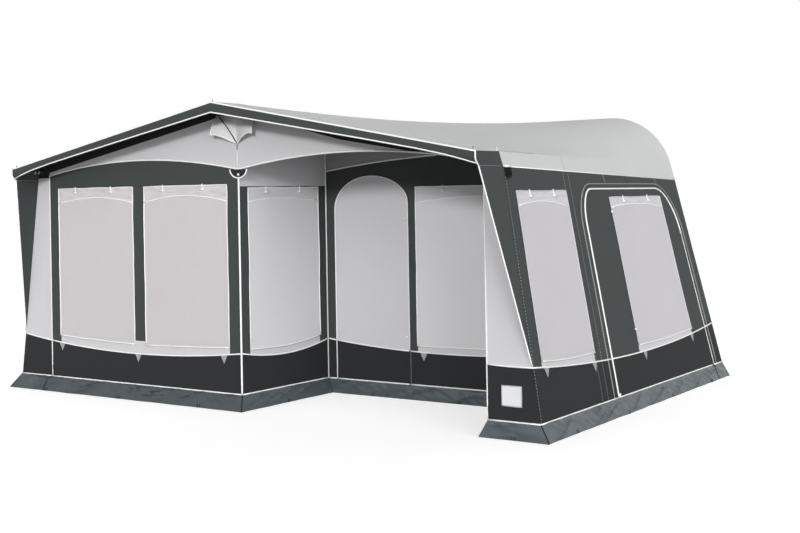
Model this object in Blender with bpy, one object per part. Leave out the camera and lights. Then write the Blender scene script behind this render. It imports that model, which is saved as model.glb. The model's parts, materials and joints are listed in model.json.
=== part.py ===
"""Caravan awning: a gabled front with a canopy, a set-back porch on the right and an open back.

Metres, +Z up, +X to the right seen from the front, the caravan on the +Y side.
The origin is on the ground, in the middle of the awning's footprint.
"""
from math import atan, cos, pi, sin

import bmesh
import bpy
from mathutils import Vector
from mathutils.geometry import delaunay_2d_cdt

# Overall sizes of the tent
depth = 3.50
overhang = 0.292
porch_inset = 1.06
ridge_z = 2.34
front_pole_half = 2.30
front_pole_z = 1.90
front_eave_spread = 0.03
front_eave_z = 1.80
front_foot_half = 2.58
rear_eave_half = 2.05
rear_eave_z = 1.72
rear_foot_half = 2.46
rail_z = 2.30
rail_corner_radius = 0.60
roof_sag = 0.025
hem_z = 0.12
zip_half = 2.18

# Cloth, foil and clearances
cloth = 0.004
foil = 0.0015
cover_cloth = 0.003
gap = 0.0003
edge_gap = 0.0015
zip_gap = 0.003

# Gable, band and vent
band_height = 0.062
band_corner_height = 0.078
arch_end_z = 1.84
arch_rise = 0.10
vent_half_width = 0.14
vent_height = 0.09
vent_z = 2.14
hood_top_z = 2.255
hood_top_half = 0.18
hood_half = 0.21
hood_reach = 0.08
hood_corner_z = 2.115
hood_tip_z = 2.035
hood_cloth = 0.002
wing_tip_z = 0.49
stub_top_z = 1.848

# Doors
inset_door_left = 0.095
inset_door_right = 0.825
inset_door_z = 1.782
inset_door_arch = 0.22
side_door_front = 1.25
side_door_rear = 3.28
side_door_z = 1.645
side_door_front_corner = 0.18
side_door_rear_corner = 0.40

# Windows, as far as their covers reach: start and end along the wall, bottom, top
window_margin = 0.03
front_window_edge = 0.12
front_window_space = 0.13
front_window_z = (0.455, 1.725)
return_window_edge = 0.095
return_window_rear_edge = 0.11
return_window_z = (0.465, 1.70)
inset_window_left = 0.905
inset_window_width = 1.09
inset_window_z = (0.43, 1.685)
side_window_edge = 0.133
side_window_width = 0.83
side_window_z = (0.495, 1.635)
door_window_edge = 0.53
door_window_rear_edge = 0.33
door_window_z = (0.45, 1.58)
left_window_edge = 1.30
left_window_width = 1.65
left_window_z = (0.45, 1.60)
cover_hem_height = 0.02
cover_hem = 0.006
cover_hem_standoff = 0.004

# Mud wall
front_splay = 0.08
return_splay = 0.06
inset_splay = 0.02
stub_splay = 0.02
side_splay = 0.07

# Rail bead and wall plates
bead_radius = 0.004
bead_end_z = 0.40
plate_radius = 0.028
plate_thickness = 0.006
socket_depth = 0.03
socket_wall = 0.004

# Poles and pole heads
pole_radius = 0.0125
arm_radius = 0.010
head_radius = 0.022
head_height = 0.045
canopy_head_radius = 0.017
spigot_length = 0.04
spike_radius = 0.003
spike_height = 0.035
spike_hole_radius = 0.005
head_roof_gap = 0.002
rail_end_gap = 0.003
side_head_inset = 0.03
side_head_drop = 0.028
ridge_rear_z = 2.235
side_plate_inset = 0.038
porch_head_inset = 0.0163
porch_head_drop = 0.052

# Legs
tube_radius = 0.014
tube_wall = 0.0013
inner_radius = 0.0122
foot_radius = 0.028
foot_height = 0.012
foot_neck = 0.010
corner_foot_inset = 0.09
porch_foot_inset = 0.1125
clamp_z = 1.05
leg_overlap = 0.35
leg_standoff = 0.002

# Leg clamps
collar_radius = 0.021
collar_height = 0.042
collar_lip = 0.016
ear_reach = 0.034
ear_thickness = 0.004
ear_slot = 0.0076
pin_radius = 0.0015
lever_hub_radius = 0.0045
lever_length = 0.06
lever_thickness = 0.0035

# Zip sliders
slider_width = 0.012
slider_height = 0.034
slider_thickness = 0.004
slider_z = 0.18

# Divisions
side_cells = (8, 4)
porch_cells = 2
back_cells = 4
flat_steps = 3
corner_steps = 6
arch_steps = 12
round_steps = 16
corner_arc_steps = 5
overrun = 0.02
merge = 0.000001

# Places that follow from the sizes: y grows towards the caravan
wall_y = (depth + overhang + cloth) / 2
front_y = wall_y - depth
inset_y = front_y + porch_inset
canopy_y = front_y - overhang
rear_y = wall_y - 2 * bead_radius - gap
head_y = front_y + cloth + leg_standoff + foot_radius
canopy_head_y = canopy_y + gap + canopy_head_radius
ridge_head_x = -(cloth + leg_standoff + foot_radius)
porch_y = inset_y + cloth + leg_standoff + foot_radius
front_eave_half = front_pole_half + front_eave_spread
front_window_width = (zip_half - 2 * front_window_edge - front_window_space) / 2
side_head_x = front_pole_half - side_head_inset
side_head_z = front_pole_z - side_head_drop
gable_slope = (ridge_z - front_pole_z) / front_pole_half
ridge_head_top = ridge_z - cloth - head_roof_gap - gable_slope * (head_radius - ridge_head_x)
ridge_head_z = ridge_head_top - head_height / 2
side_lean = atan((rear_foot_half - rear_eave_half) / (rear_eave_z - hem_z))


def between(start, end, share):
    """The value or point that lies the given share of the way from start to end."""
    return start + (end - start) * share


def finish(name, colour, roughness, metallic=0.0):
    """A plain material with the piece's colour and gloss."""
    material = bpy.data.materials.new(name)
    material.use_nodes = True
    shader = material.node_tree.nodes["Principled BSDF"]
    shader.inputs["Base Color"].default_value = (*colour, 1.0)
    shader.inputs["Roughness"].default_value = roughness
    shader.inputs["Metallic"].default_value = metallic
    return material


def add(name, bm, material, origin=(0, 0, 0), smooth=False):
    """Put a finished mesh in the scene as one named piece with its origin at the given point."""
    bmesh.ops.recalc_face_normals(bm, faces=bm.faces)
    bmesh.ops.translate(bm, verts=bm.verts, vec=-Vector(origin))
    mesh = bpy.data.meshes.new(name)
    bm.to_mesh(mesh)
    bm.free()
    if smooth:
        mesh.shade_smooth()
        mesh.set_sharp_from_angle(angle=pi / 5)
    mesh.materials.append(material)
    piece = bpy.data.objects.new(name, mesh)
    piece.location = origin
    bpy.context.collection.objects.link(piece)
    return piece


def change_with(piece, name, bm, operation):
    """Cut another closed shape out of a piece, or fuse it on, keeping that shape as a hidden guide."""
    guide = add(name, bm, piece.data.materials[0])
    guide.hide_render = True
    guide.display_type = "WIRE"
    change = piece.modifiers.new(name, "BOOLEAN")
    change.operation = operation
    change.object = guide


def close_shell(bm, outer, inner, faces, glazed=(), panes=None):
    """Outer and inner skins over the same faces, with a rim round every free edge.

    Glazed faces share the outer skin and have their own thinner inner skin, stepped at its edge.
    """
    uses = {}
    for face in faces:
        bm.faces.new([outer[i] for i in face])
        bm.faces.new([inner[i] for i in reversed(face)])
        uses.update({edge: inner for edge in zip(face, face[1:] + face[:1])})
    for face in glazed:
        bm.faces.new([outer[i] for i in face])
        bm.faces.new([panes[i] for i in reversed(face)])
        uses.update({edge: panes for edge in zip(face, face[1:] + face[:1])})
    for (a, b), skin in uses.items():
        if (b, a) not in uses:
            bm.faces.new((outer[b], outer[a], skin[a], skin[b]))
        elif skin is inner and uses[(b, a)] is not inner:
            bm.faces.new((panes[b], panes[a], inner[a], inner[b]))


def add_sheet(bm, outline, place, outside, inside, holes=(), windows=(), cuts=()):
    """A flat outline cut along the wall's folds, then laid on the wall and thickened.

    Holes go right through. Windows are thinner foil, flush with the outer skin.
    """
    points, edges = [], []
    for loop in [outline] + list(holes) + list(windows):
        first = len(points)
        points += [Vector(point) for point in loop]
        edges += [(first + i, first + (i + 1) % len(loop)) for i in range(len(loop))]
    verts, _, faces, *_ = delaunay_2d_cdt(points, edges, [], 1, merge, False)
    flat = bmesh.new()
    corners = [flat.verts.new((u, z, 0)) for u, z in verts]
    for face in faces:
        middle = middle_of([verts[i] for i in face])
        if is_inside(middle, outline) and not any(is_inside(middle, hole) for hole in holes):
            flat.faces.new([corners[i] for i in face])
    for point, normal in cuts:
        geometry = flat.verts[:] + flat.edges[:] + flat.faces[:]
        bmesh.ops.bisect_plane(flat, geom=geometry, dist=merge, plane_co=point, plane_no=normal)
    flat.verts.index_update()
    outer, inner, panes = {}, {}, {}
    for skin, depths in ((outer, outside), (inner, inside), (panes, outside - foil)):
        skin.update({v.index: bm.verts.new(place(v.co.x, v.co.y, depths)) for v in flat.verts})
    walls, glazed = [], []
    for face in flat.faces:
        ids = [v.index for v in face.verts]
        middle = middle_of([v.co.xy for v in face.verts])
        (glazed if any(is_inside(middle, window) for window in windows) else walls).append(ids)
    close_shell(bm, outer, inner, walls, glazed, panes)
    for vert in [v for v in bm.verts if not v.link_faces]:
        bm.verts.remove(vert)
    flat.free()


def middle_of(points):
    return sum((Vector(point) for point in points), Vector((0, 0))) / len(points)


def is_inside(point, loop):
    """Whether a flat point lies inside a closed loop."""
    inside = False
    for (x0, z0), (x1, z1) in zip(loop, loop[1:] + loop[:1]):
        if (z0 > point.y) != (z1 > point.y) and point.x < between(x0, x1, (point.y - z0) / (z1 - z0)):
            inside = not inside
    return inside


def add_turned(bm, start, end, along, profile, steps=round_steps):
    """Rings round the line from start to end, each flat across the main axis, skinned in order.

    The profile is (radius, place on the main axis). Where the line leans, the rings shift with it.
    """
    start, end = Vector(start), Vector(end)
    side = Vector((0, 1, 0)) if along == 0 else Vector((1, 0, 0))
    up = Vector((0, 1, 0)) if along == 2 else Vector((0, 0, 1))
    rings = []
    for radius, place in profile:
        centre = between(start, end, (place - start[along]) / (end[along] - start[along]))
        if radius == 0:
            rings.append([bm.verts.new(centre)])
            continue
        turns = [2 * pi * i / steps for i in range(steps)]
        rings.append([bm.verts.new(centre + side * (radius * cos(a)) + up * (radius * sin(a)))
                      for a in turns])
    for low, high in zip(rings, rings[1:]):
        for i in range(steps):
            j = (i + 1) % steps
            if len(low) == 1:
                bm.faces.new((low[0], high[j], high[i]))
            elif len(high) == 1:
                bm.faces.new((low[i], low[j], high[0]))
            else:
                bm.faces.new((low[i], low[j], high[j], high[i]))


def add_pole(bm, start, end, along, radius):
    """A round pole with flat ends."""
    first, last = start[along], end[along]
    add_turned(bm, start, end, along, [(0, first), (radius, first), (radius, last), (0, last)])


def rectangle(left, right, bottom, top):
    """Corners of an upright rectangle in a wall's own plane."""
    return [(left, bottom), (right, bottom), (right, top), (left, top)]


def round_top(left, right, bottom, top, left_corner, right_corner):
    """A door outline from its bottom left to its bottom right, with rounded top corners.

    Each corner is (width, height) of its quarter ellipse.
    """
    steps = corner_arc_steps
    points = [(left, bottom)]
    for i in range(steps + 1):
        turn = pi / 2 * i / steps
        points.append((left + left_corner[0] * (1 - cos(turn)), top - left_corner[1] * (1 - sin(turn))))
    for i in range(steps + 1):
        turn = pi / 2 * (1 - i / steps)
        points.append((right - right_corner[0] * (1 - cos(turn)), top - right_corner[1] * (1 - sin(turn))))
    points.append((right, bottom))
    return [p for i, p in enumerate(points) if i == 0 or (Vector(p) - Vector(points[i - 1])).length > merge]


# Walls: each maps a place along the wall, a height and a distance outwards to a point

def on_front(x, z, out):
    return Vector((x, front_y - out, z))


def on_inset(x, z, out):
    return Vector((x, inset_y - out, z))


def on_return(y, z, out):
    return Vector((out, y, z))


def side_half(y, z):
    """Half-width of the leaning, slightly twisted side wall at one place."""
    front = between(front_foot_half, front_eave_half, (z - hem_z) / (front_eave_z - hem_z))
    rear = between(rear_foot_half, rear_eave_half, (z - hem_z) / (rear_eave_z - hem_z))
    return between(front, rear, (y - front_y) / depth)


def folded_side_half(y, z):
    """The same wall made of flat triangles, so that layers on it lie parallel."""
    across, up = side_cells
    wide, high = depth / across, (front_eave_z - hem_z) / up
    i = min(max(int((y - front_y) / wide), 0), across - 1)
    j = min(max(int((z - hem_z) / high), 0), up - 1)
    y0, z0 = front_y + i * wide, hem_z + j * high
    a, b = (y - y0) / wide, (z - z0) / high
    low, far = side_half(y0, z0), side_half(y0 + wide, z0 + high)
    middle = side_half(y0 + wide, z0) if a >= b else side_half(y0, z0 + high)
    if a >= b:
        return low + (middle - low) * a + (far - middle) * b
    return low + (middle - low) * b + (far - middle) * a


def on_right(y, z, out):
    return Vector((folded_side_half(y, z) + out, y, z))


def on_left(y, z, out):
    return Vector((-folded_side_half(y, z) - out, y, z))


def side_folds():
    """The fold lines of the side wall in its own plane, as a point and a normal each."""
    across, up = side_cells
    wide, high = depth / across, (front_eave_z - hem_z) / up
    folds = [((front_y + i * wide, 0, 0), (1, 0, 0)) for i in range(1, across)]
    folds += [((0, hem_z + j * high, 0), (0, 1, 0)) for j in range(1, up)]
    for step in range(1 - up, across):
        folds.append(((front_y + step * wide, hem_z, 0), (1 / wide, -1 / high, 0)))
    return folds


def eave_height(y):
    """Height of the eave seam along the side wall."""
    return between(front_eave_z, rear_eave_z, (y - front_y) / depth)


# Roof sections, from the ridge outwards: slope, rounded corner and drop to the eave seam

def front_section():
    share = rear_corner_start() / rear_corner_end()[0]
    shares = [share * i / flat_steps for i in range(flat_steps)]
    shares += [between(share, 1, i / corner_steps) for i in range(corner_steps + 1)]
    points = [(front_pole_half * s, between(ridge_z, front_pole_z, s)) for s in shares]
    return points + [(front_eave_half, front_eave_z)]


def rear_corner_end():
    z = rail_z - rail_corner_radius * (1 - sin(side_lean))
    slope = (rear_foot_half - rear_eave_half) / (rear_eave_z - hem_z)
    return rear_eave_half - slope * (z - rear_eave_z), z


def rear_corner_start():
    return rear_corner_end()[0] - rail_corner_radius * cos(side_lean)


def rear_section():
    start = rear_corner_start()
    points = [(start * i / flat_steps, rail_z) for i in range(flat_steps)]
    for i in range(corner_steps + 1):
        turn = (pi / 2 - side_lean) * i / corner_steps
        points.append((start + rail_corner_radius * sin(turn), rail_z - rail_corner_radius * (1 - cos(turn))))
    return points + [(rear_eave_half, rear_eave_z)]


def roof_section(y, inward=0.0):
    """Half of the roof's section at y, moved inwards by a distance, from ridge to eave."""
    share = max((y - front_y) / depth, 0)
    sag = roof_sag * 4 * share * (1 - share)
    points = []
    for i, (front, rear) in enumerate(zip(front_section(), rear_section())):
        held = min(max((i - flat_steps) / corner_steps, 0), 1)
        point = between(Vector(front), Vector(rear), share)
        points.append(point - Vector((0, sag * (1 - held))))
    ridge = Vector((-points[1].x, points[1].y))
    moved = []
    for i, point in enumerate(points):
        before = points[i - 1] if i else ridge
        after = points[i + 1] if i + 1 < len(points) else point
        normals = [Vector((b.y - a.y, a.x - b.x)).normalized()
                   for a, b in ((before, point), (point, after)) if (b - a).length > merge]
        normal = sum(normals, Vector((0, 0))).normalized()
        moved.append(point + normal * (inward / normal.dot(normals[0])))
    return moved


def whole_section(y, inward=0.0):
    """The roof's section from the left eave over the ridge to the right eave."""
    half = roof_section(y, inward)
    return [Vector((-p.x, p.y)) for p in half[:0:-1]] + half


def roof_stations():
    """Where the roof has a section between the front wall and the rail, one of them over the inset wall."""
    porch = [between(front_y, inset_y, i / porch_cells) for i in range(porch_cells)]
    return porch + [between(inset_y, rear_y, i / back_cells) for i in range(back_cells + 1)]


# The pieces, from the roof down

def make_roof(material):
    """Roof sheet from the canopy's front to the rail, dropping over the side poles to the eave."""
    bm = bmesh.new()
    stations = [canopy_y - cloth] + roof_stations()
    outer, inner, across = [], [], len(whole_section(front_y))
    for y in stations:
        outer += [bm.verts.new((p.x, y, p.y)) for p in whole_section(y)]
        inner += [bm.verts.new((p.x, y, p.y)) for p in whole_section(y, cloth)]
    faces = []
    for row in range(len(stations) - 1):
        for i in range(across - 1):
            is_drop = i in (0, across - 2)
            if row == 0 and is_drop:
                continue
            a = row * across + i
            faces.append([a, a + 1, a + across + 1, a + across])
    close_shell(bm, outer, inner, faces)
    bmesh.ops.triangulate(bm, faces=bm.faces[:])
    for vert in [v for v in bm.verts if not v.link_faces]:
        bm.verts.remove(vert)
    roof = add("roof", bm, material)

    holes = bmesh.new()
    above = ridge_z + overrun
    spiked_legs = [(head, foot) for _, head, foot, _, is_spiked in legs() if is_spiked]
    spikes = [(head, between(foot, head, above / head.z)) for head, foot in spiked_legs]
    spikes += [(head, Vector((head.x, head.y, above))) for head in head_places()[3:]]
    for head, end in spikes:
        add_pole(holes, head, end, 2, spike_hole_radius)
    change_with(roof, "spike_holes", holes, "DIFFERENCE")


def head_places():
    """Middles of the spiked heads: front peak and corners, then canopy peak and corners."""
    front = [(ridge_head_x, head_y, ridge_head_z)]
    front += [(sign * side_head_x, head_y, side_head_z) for sign in (-1, 1)]
    canopy = [(0, canopy_head_y, ridge_head_z)]
    canopy += [(sign * side_head_x, canopy_head_y, side_head_z) for sign in (-1, 1)]
    return [Vector(place) for place in front + canopy]


def front_drop_half(z):
    """Half-width of the roof's short drop from the side poles to the eave, at the front."""
    return between(front_pole_half, front_eave_half, (front_pole_z - z) / (front_pole_z - front_eave_z))


def make_canopy_band(material):
    """Dark band under the roof's front edge, with a return down each side of the canopy."""
    under = cloth / cos(atan(gable_slope)) + gap
    corner_top, corner_low = front_pole_z - under - gap, front_pole_z - band_corner_height
    front, rear = canopy_y - cloth, front_y - gap
    outer, inner = [], []
    stops = ((-1, rear, corner_top, front_eave_z), (-1, front, corner_top, corner_low),
             (0, front, ridge_z - under, ridge_z - band_height),
             (1, front, corner_top, corner_low), (1, rear, corner_top, front_eave_z))
    for side, y, high, low in stops:
        for z in (high, low):
            half, mitre = front_drop_half(z), cloth if y == front else 0
            outer.append((side * half, y, z))
            inner.append((side * (half - cloth), y + mitre, z))
    bm = bmesh.new()
    outer = [bm.verts.new(point) for point in outer]
    inner = [bm.verts.new(point) for point in inner]
    close_shell(bm, outer, inner, [[a, a + 1, a + 3, a + 2] for a in (0, 2, 4, 6)])
    add("canopy_band", bm, material)


def gable_arch(x):
    """Height of the gable's scalloped lower edge: one arch each side of the middle."""
    half = zip_half / 2
    return arch_end_z + arch_rise * (1 - ((abs(x) - half) / half) ** 2)


def circle(x, z, radius):
    """Corners of a round hole in a wall's own plane."""
    turns = [2 * pi * i / round_steps for i in range(round_steps)]
    return [(x + radius * cos(a), z + radius * sin(a)) for a in turns]


def make_gable(material, mesh_material):
    """Light gable between the roof and the two arches, with a mesh vent and a hole for the middle arm."""
    under = cloth / cos(atan(gable_slope)) + edge_gap
    top = [(x, ridge_z - gable_slope * abs(x) - under) for x in (zip_half, 0, -zip_half)]
    steps = 2 * arch_steps
    xs = [between(-zip_half, zip_half, i / steps) for i in range(steps + 1)]
    front, canopy = head_places()[0], head_places()[3]
    arm_x = between(front, canopy, (front_y - front.y) / (canopy.y - front.y)).x
    arm_hole = circle(arm_x, ridge_head_z, arm_radius + edge_gap)
    vent = rectangle(-vent_half_width, vent_half_width, vent_z, vent_z + vent_height)
    bm = bmesh.new()
    add_sheet(bm, [(x, gable_arch(x)) for x in xs] + top, on_front, 0, -cloth, holes=[arm_hole, vent])
    add("gable_panel", bm, material)
    bm = bmesh.new()
    mesh = rectangle(-vent_half_width + gap, vent_half_width - gap, vent_z + gap, vent_z + vent_height - gap)
    add_sheet(bm, mesh, on_front, -foil, -2 * foil)
    add("vent_mesh", bm, mesh_material)


def make_vent_hood(material):
    """Stiffened hood over the vent: hinged at its top edge, spread at its corners, drawn in at the tip."""
    across_shares = [-1, -0.72, -0.4, -0.15, 0, 0.15, 0.4, 0.72, 1]
    reach_shares = [1, 0.95, 0.75, 0.4, 0.08, 0.4, 0.75, 0.95, 1]
    fall_shares = [0.12, 0, 0.08, 0.45, 1, 0.45, 0.08, 0, 0.12]
    bm = bmesh.new()
    outer, inner, rows = [], [], 4
    for row in range(rows):
        share = row / (rows - 1)
        for across, reach, fall in zip(across_shares, reach_shares, fall_shares):
            x = between(hood_top_half, hood_half, share) * across
            z = between(hood_top_z, between(hood_corner_z, hood_tip_z, fall), share)
            out = gap + hood_cloth + hood_reach * reach * sin(pi / 2 * share)
            outer.append(bm.verts.new(on_front(x, z, out)))
            inner.append(bm.verts.new(on_front(x, z, out - hood_cloth)))
    columns = len(across_shares)
    faces = [[j * columns + i, j * columns + i + 1, (j + 1) * columns + i + 1, (j + 1) * columns + i]
             for j in range(rows - 1) for i in range(columns - 1)]
    close_shell(bm, outer, inner, faces)
    bmesh.ops.triangulate(bm, faces=bm.faces[:])
    add("vent_hood", bm, material, origin=(0, front_y - gap, hood_top_z))


front_outer_window = (front_window_edge - zip_half, front_window_edge + front_window_width - zip_half,
                      front_window_z)
front_inner_window = (-front_window_edge - front_window_width, -front_window_edge, front_window_z)
return_window = (front_y + return_window_edge, inset_y - return_window_rear_edge, return_window_z)
inset_window = (inset_window_left, inset_window_left + inset_window_width, inset_window_z)
side_window = (front_y + side_window_edge, front_y + side_window_edge + side_window_width, side_window_z)
door_window = (front_y + side_door_front + door_window_edge,
               front_y + side_door_rear - door_window_rear_edge, door_window_z)
left_window = (front_y + left_window_edge, front_y + left_window_edge + left_window_width, left_window_z)


def panes(*windows):
    """The foil behind each cover, smaller than the cover all round."""
    edge = window_margin
    return [rectangle(left + edge, right - edge, low + edge, high - edge)
            for left, right, (low, high) in windows]


def make_front_panels(dark, light):
    """Two-window panel left of the centre post, and the narrow stubs outside the two corner zips."""
    xs = [between(0, -zip_half + gap, i / arch_steps) for i in range(arch_steps + 1)]
    outline = [(-zip_half + gap, hem_z), (0, hem_z)] + [(x, gable_arch(x) - gap) for x in xs]
    bm = bmesh.new()
    add_sheet(bm, outline, on_front, 0, -cloth, windows=panes(front_outer_window, front_inner_window))
    add("front_left_panel", bm, dark)
    foot = folded_side_half(front_y, hem_z) - cloth - edge_gap
    eave = front_eave_half - cloth - edge_gap
    top = front_pole_half - cloth - edge_gap
    outline = [(zip_half, hem_z), (foot, hem_z), (eave, front_eave_z)]
    outline += [(top, stub_top_z), (zip_half, stub_top_z)]
    for name, sign in (("left_stub_panel", -1), ("right_stub_panel", 1)):
        bm = bmesh.new()
        add_sheet(bm, [(sign * x, z) for x, z in outline], on_front, 0, -cloth)
        add(name, bm, light)


def make_return_panel(material):
    """Porch wall from the centre post back to the inner corner, one window."""
    front, rear = front_y + cloth + gap, inset_y + cloth
    middles = roof_stations()[1:porch_cells]
    top = [(y, roof_section(y, cloth)[0].y - edge_gap) for y in (rear, *reversed(middles), front)]
    bm = bmesh.new()
    peak, _, right = head_places()[:3]
    rail = between(peak, right, -peak.x / (right.x - peak.x))
    add_sheet(bm, [(front, hem_z), (rear, hem_z)] + top, on_return, 0, -cloth,
              holes=[circle(rail.y, rail.z, pole_radius + edge_gap)], windows=panes(return_window))
    add("return_panel", bm, material)


def inset_door_half():
    return (inset_door_right - inset_door_left) / 2


def inset_doorway(grow, grow_hinge):
    """The arched door's outline, larger by the given amounts."""
    half = inset_door_half()
    return round_top(inset_door_left - grow, inset_door_right + grow_hinge, hem_z, inset_door_z + grow,
                     (half + grow, inset_door_arch), (half + grow_hinge, inset_door_arch))


def make_inset_wall(dark, light):
    """Set-back porch wall with one window and an arched zip door that folds open about its right side."""
    deep = inset_y + cloth
    top = eave_height(deep) - edge_gap
    right = [(folded_side_half(deep, z) - cloth - edge_gap, z)
             for z in (between(hem_z, top, i / arch_steps) for i in range(arch_steps + 1))]
    section = roof_section(deep, cloth + edge_gap)
    roof = [(p.x, p.y) for p in section[-2:0:-1]]
    bm = bmesh.new()
    outline = [(gap, hem_z)] + inset_doorway(zip_gap, gap) + right + roof + [(gap, section[0].y - gap)]
    start, end = side_pole_line(1)
    pole = between(start, end, (inset_y + cloth / 2 - start.y) / (end.y - start.y))
    add_sheet(bm, outline, on_inset, 0, -cloth, holes=[circle(pole.x, pole.z, pole_radius + edge_gap)],
              windows=panes(inset_window))
    add("inset_panel", bm, dark)
    bm = bmesh.new()
    add_sheet(bm, inset_doorway(0, -gap), on_inset, 0, -cloth)
    add("inset_door", bm, light, origin=(inset_door_right, inset_y, hem_z))


def side_doorway(grow, grow_hinge):
    """The side door's outline, larger by the given amounts."""
    corner, rear_corner = side_door_front_corner + grow, side_door_rear_corner + grow_hinge
    return round_top(front_y + side_door_front - grow, front_y + side_door_rear + grow_hinge, hem_z,
                     side_door_z + grow, (corner, corner), (rear_corner, rear_corner))


def make_side_walls(material):
    """Leaning side walls from the corner seam to the rail, and the right one's wide door."""
    steps = side_cells[0]
    ys = [between(rear_y, front_y, i / steps) for i in range(steps + 1)]
    top = [(y, eave_height(y) - edge_gap) for y in ys]
    bm = bmesh.new()
    outline = [(front_y, hem_z)] + side_doorway(zip_gap, gap) + [(rear_y, hem_z)] + top
    add_sheet(bm, outline, on_right, 0, -cloth, windows=panes(side_window), cuts=side_folds())
    add("right_side_panel", bm, material)
    bm = bmesh.new()
    outline = [(front_y, hem_z), (rear_y, hem_z)] + top
    add_sheet(bm, outline, on_left, 0, -cloth, windows=panes(left_window), cuts=side_folds())
    add("left_side_panel", bm, material)
    bm = bmesh.new()
    add_sheet(bm, side_doorway(0, -gap), on_right, 0, -cloth, windows=panes(door_window), cuts=side_folds())
    add("right_side_door", bm, material, origin=on_right(front_y + side_door_rear, hem_z, 0))


def make_covers(cloth_material, hem_material):
    """Roll-up cover over each window, with a stiff hem batten along its lower edge."""
    places = (
        ("front_outer_cover", front_outer_window, on_front, ()),
        ("front_inner_cover", front_inner_window, on_front, ()),
        ("return_cover", return_window, on_return, ()),
        ("inset_cover", inset_window, on_inset, ()),
        ("right_side_cover", side_window, on_right, side_folds()),
        ("right_door_cover", door_window, on_right, side_folds()),
        ("left_side_cover", left_window, on_left, side_folds()),
    )
    for name, (left, right, (low, high)), place, cuts in places:
        hem_top = low + cover_hem_height
        bm = bmesh.new()
        add_sheet(bm, rectangle(left, right, hem_top + gap, high), place, gap + cover_cloth, gap, cuts=cuts)
        add(name, bm, cloth_material, origin=place(left, high, gap))
        bm = bmesh.new()
        outside = cover_hem_standoff + cover_hem
        add_sheet(bm, rectangle(left, right, low, hem_top), place, outside, cover_hem_standoff, cuts=cuts)
        add(name + "_hem", bm, hem_material, origin=place(left, low, cover_hem_standoff))


def make_side_wings(material):
    """Triangular wings from the canopy's side returns down the corner seams."""
    low, rear = front_pole_z - band_corner_height - gap, front_y - gap
    tip = folded_side_half(front_y, wing_tip_z)
    corners = [(front_drop_half(low), canopy_y - cloth, low), (front_eave_half, rear, front_eave_z - gap),
               (tip, rear, wing_tip_z)]
    for name, sign in (("left_wing", -1), ("right_wing", 1)):
        bm = bmesh.new()
        outer = [bm.verts.new((sign * x, y, z)) for x, y, z in corners]
        inner = [bm.verts.new((sign * (x - cloth), y, z)) for x, y, z in corners]
        close_shell(bm, outer, inner, [[0, 1, 2]])
        add(name, bm, material)


def make_mud_walls(material):
    """Splayed skirt from the hem line to the ground: one run round the left and porch, one round the right.

    Each corner is (top, bottom, inward) in plan.
    """
    inset_end = folded_side_half(inset_y, hem_z) - cloth - edge_gap
    left_run = (
        ((-rear_foot_half, rear_y), (-rear_foot_half - side_splay, rear_y), (cloth, 0)),
        ((-front_foot_half, front_y), (-front_foot_half - side_splay, front_y - front_splay), (cloth, cloth)),
        ((0, front_y), (return_splay, front_y - front_splay), (-cloth, cloth)),
        ((0, inset_y), (return_splay, inset_y - inset_splay), (-cloth, cloth)),
        ((inset_end, inset_y), (inset_end, inset_y - inset_splay), (0, cloth)),
    )
    right_run = (
        ((zip_half, front_y), (zip_half, front_y - stub_splay), (0, cloth)),
        ((front_foot_half, front_y), (front_foot_half + side_splay, front_y - stub_splay), (-cloth, cloth)),
        ((rear_foot_half, rear_y), (rear_foot_half + side_splay, rear_y), (-cloth, 0)),
    )
    top_z = hem_z - gap
    for name, run in (("left_mud_wall", left_run), ("right_mud_wall", right_run)):
        bm = bmesh.new()
        outer, inner = [], []
        for top, bottom, (inward_x, inward_y) in run:
            for (x, y), z in ((top, top_z), (bottom, 0)):
                outer.append(bm.verts.new((x, y, z)))
                inner.append(bm.verts.new((x + inward_x, y + inward_y, z)))
        close_shell(bm, outer, inner, [[a, a + 1, a + 3, a + 2] for a in range(0, len(outer) - 2, 2)])
        add(name, bm, material)


def make_rail_bead(material):
    """Round bead along the roof's and sides' rear edges, which slides into the caravan's rail."""
    half = roof_section(wall_y, bead_radius)
    half.append(Vector((side_half(wall_y, bead_end_z) - bead_radius, bead_end_z)))
    points = [Vector((-p.x, p.y)) for p in half[:0:-1]] + half
    curve = bpy.data.curves.new("rail_bead", "CURVE")
    curve.dimensions = "3D"
    curve.bevel_depth = bead_radius
    curve.bevel_resolution = 1
    curve.use_fill_caps = True
    spline = curve.splines.new("POLY")
    spline.points.add(len(points) - 1)
    for spot, (x, z) in zip(spline.points, points):
        spot.co = (x, wall_y - bead_radius, z, 1)
    curve.materials.append(material)
    bead = bpy.data.objects.new("rail_bead", curve)
    bpy.context.collection.objects.link(bead)


# The frame

def ridge_line():
    """The ridge pole's centre line, from the front head's middle to the caravan."""
    return Vector((ridge_head_x, head_y, ridge_head_z)), Vector((ridge_head_x, wall_y, ridge_rear_z))


def side_pole_line(sign):
    """A side roof pole's centre line, from the front head's middle to the caravan."""
    x, z = rear_corner_end()
    x, z = x - side_plate_inset * cos(side_lean), z - side_plate_inset * sin(side_lean)
    return Vector((sign * side_head_x, head_y, side_head_z)), Vector((sign * x, wall_y, z))


def porch_heads():
    """Middles of the two heads over the set-back wall: inner corner and right end."""
    start, end = ridge_line()
    line = between(start, end, (porch_y - head_y) / (wall_y - head_y))
    fall = (start.z - end.z) / (wall_y - head_y) * head_radius
    low = line.z - pole_radius - gap - fall - head_height / 2
    start, end = side_pole_line(1)
    side = between(start, end, (porch_y - head_y) / (wall_y - head_y))
    outer = Vector((side.x - porch_head_inset, porch_y, side.z - porch_head_drop))
    return Vector((line.x, porch_y, low)), outer


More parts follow.
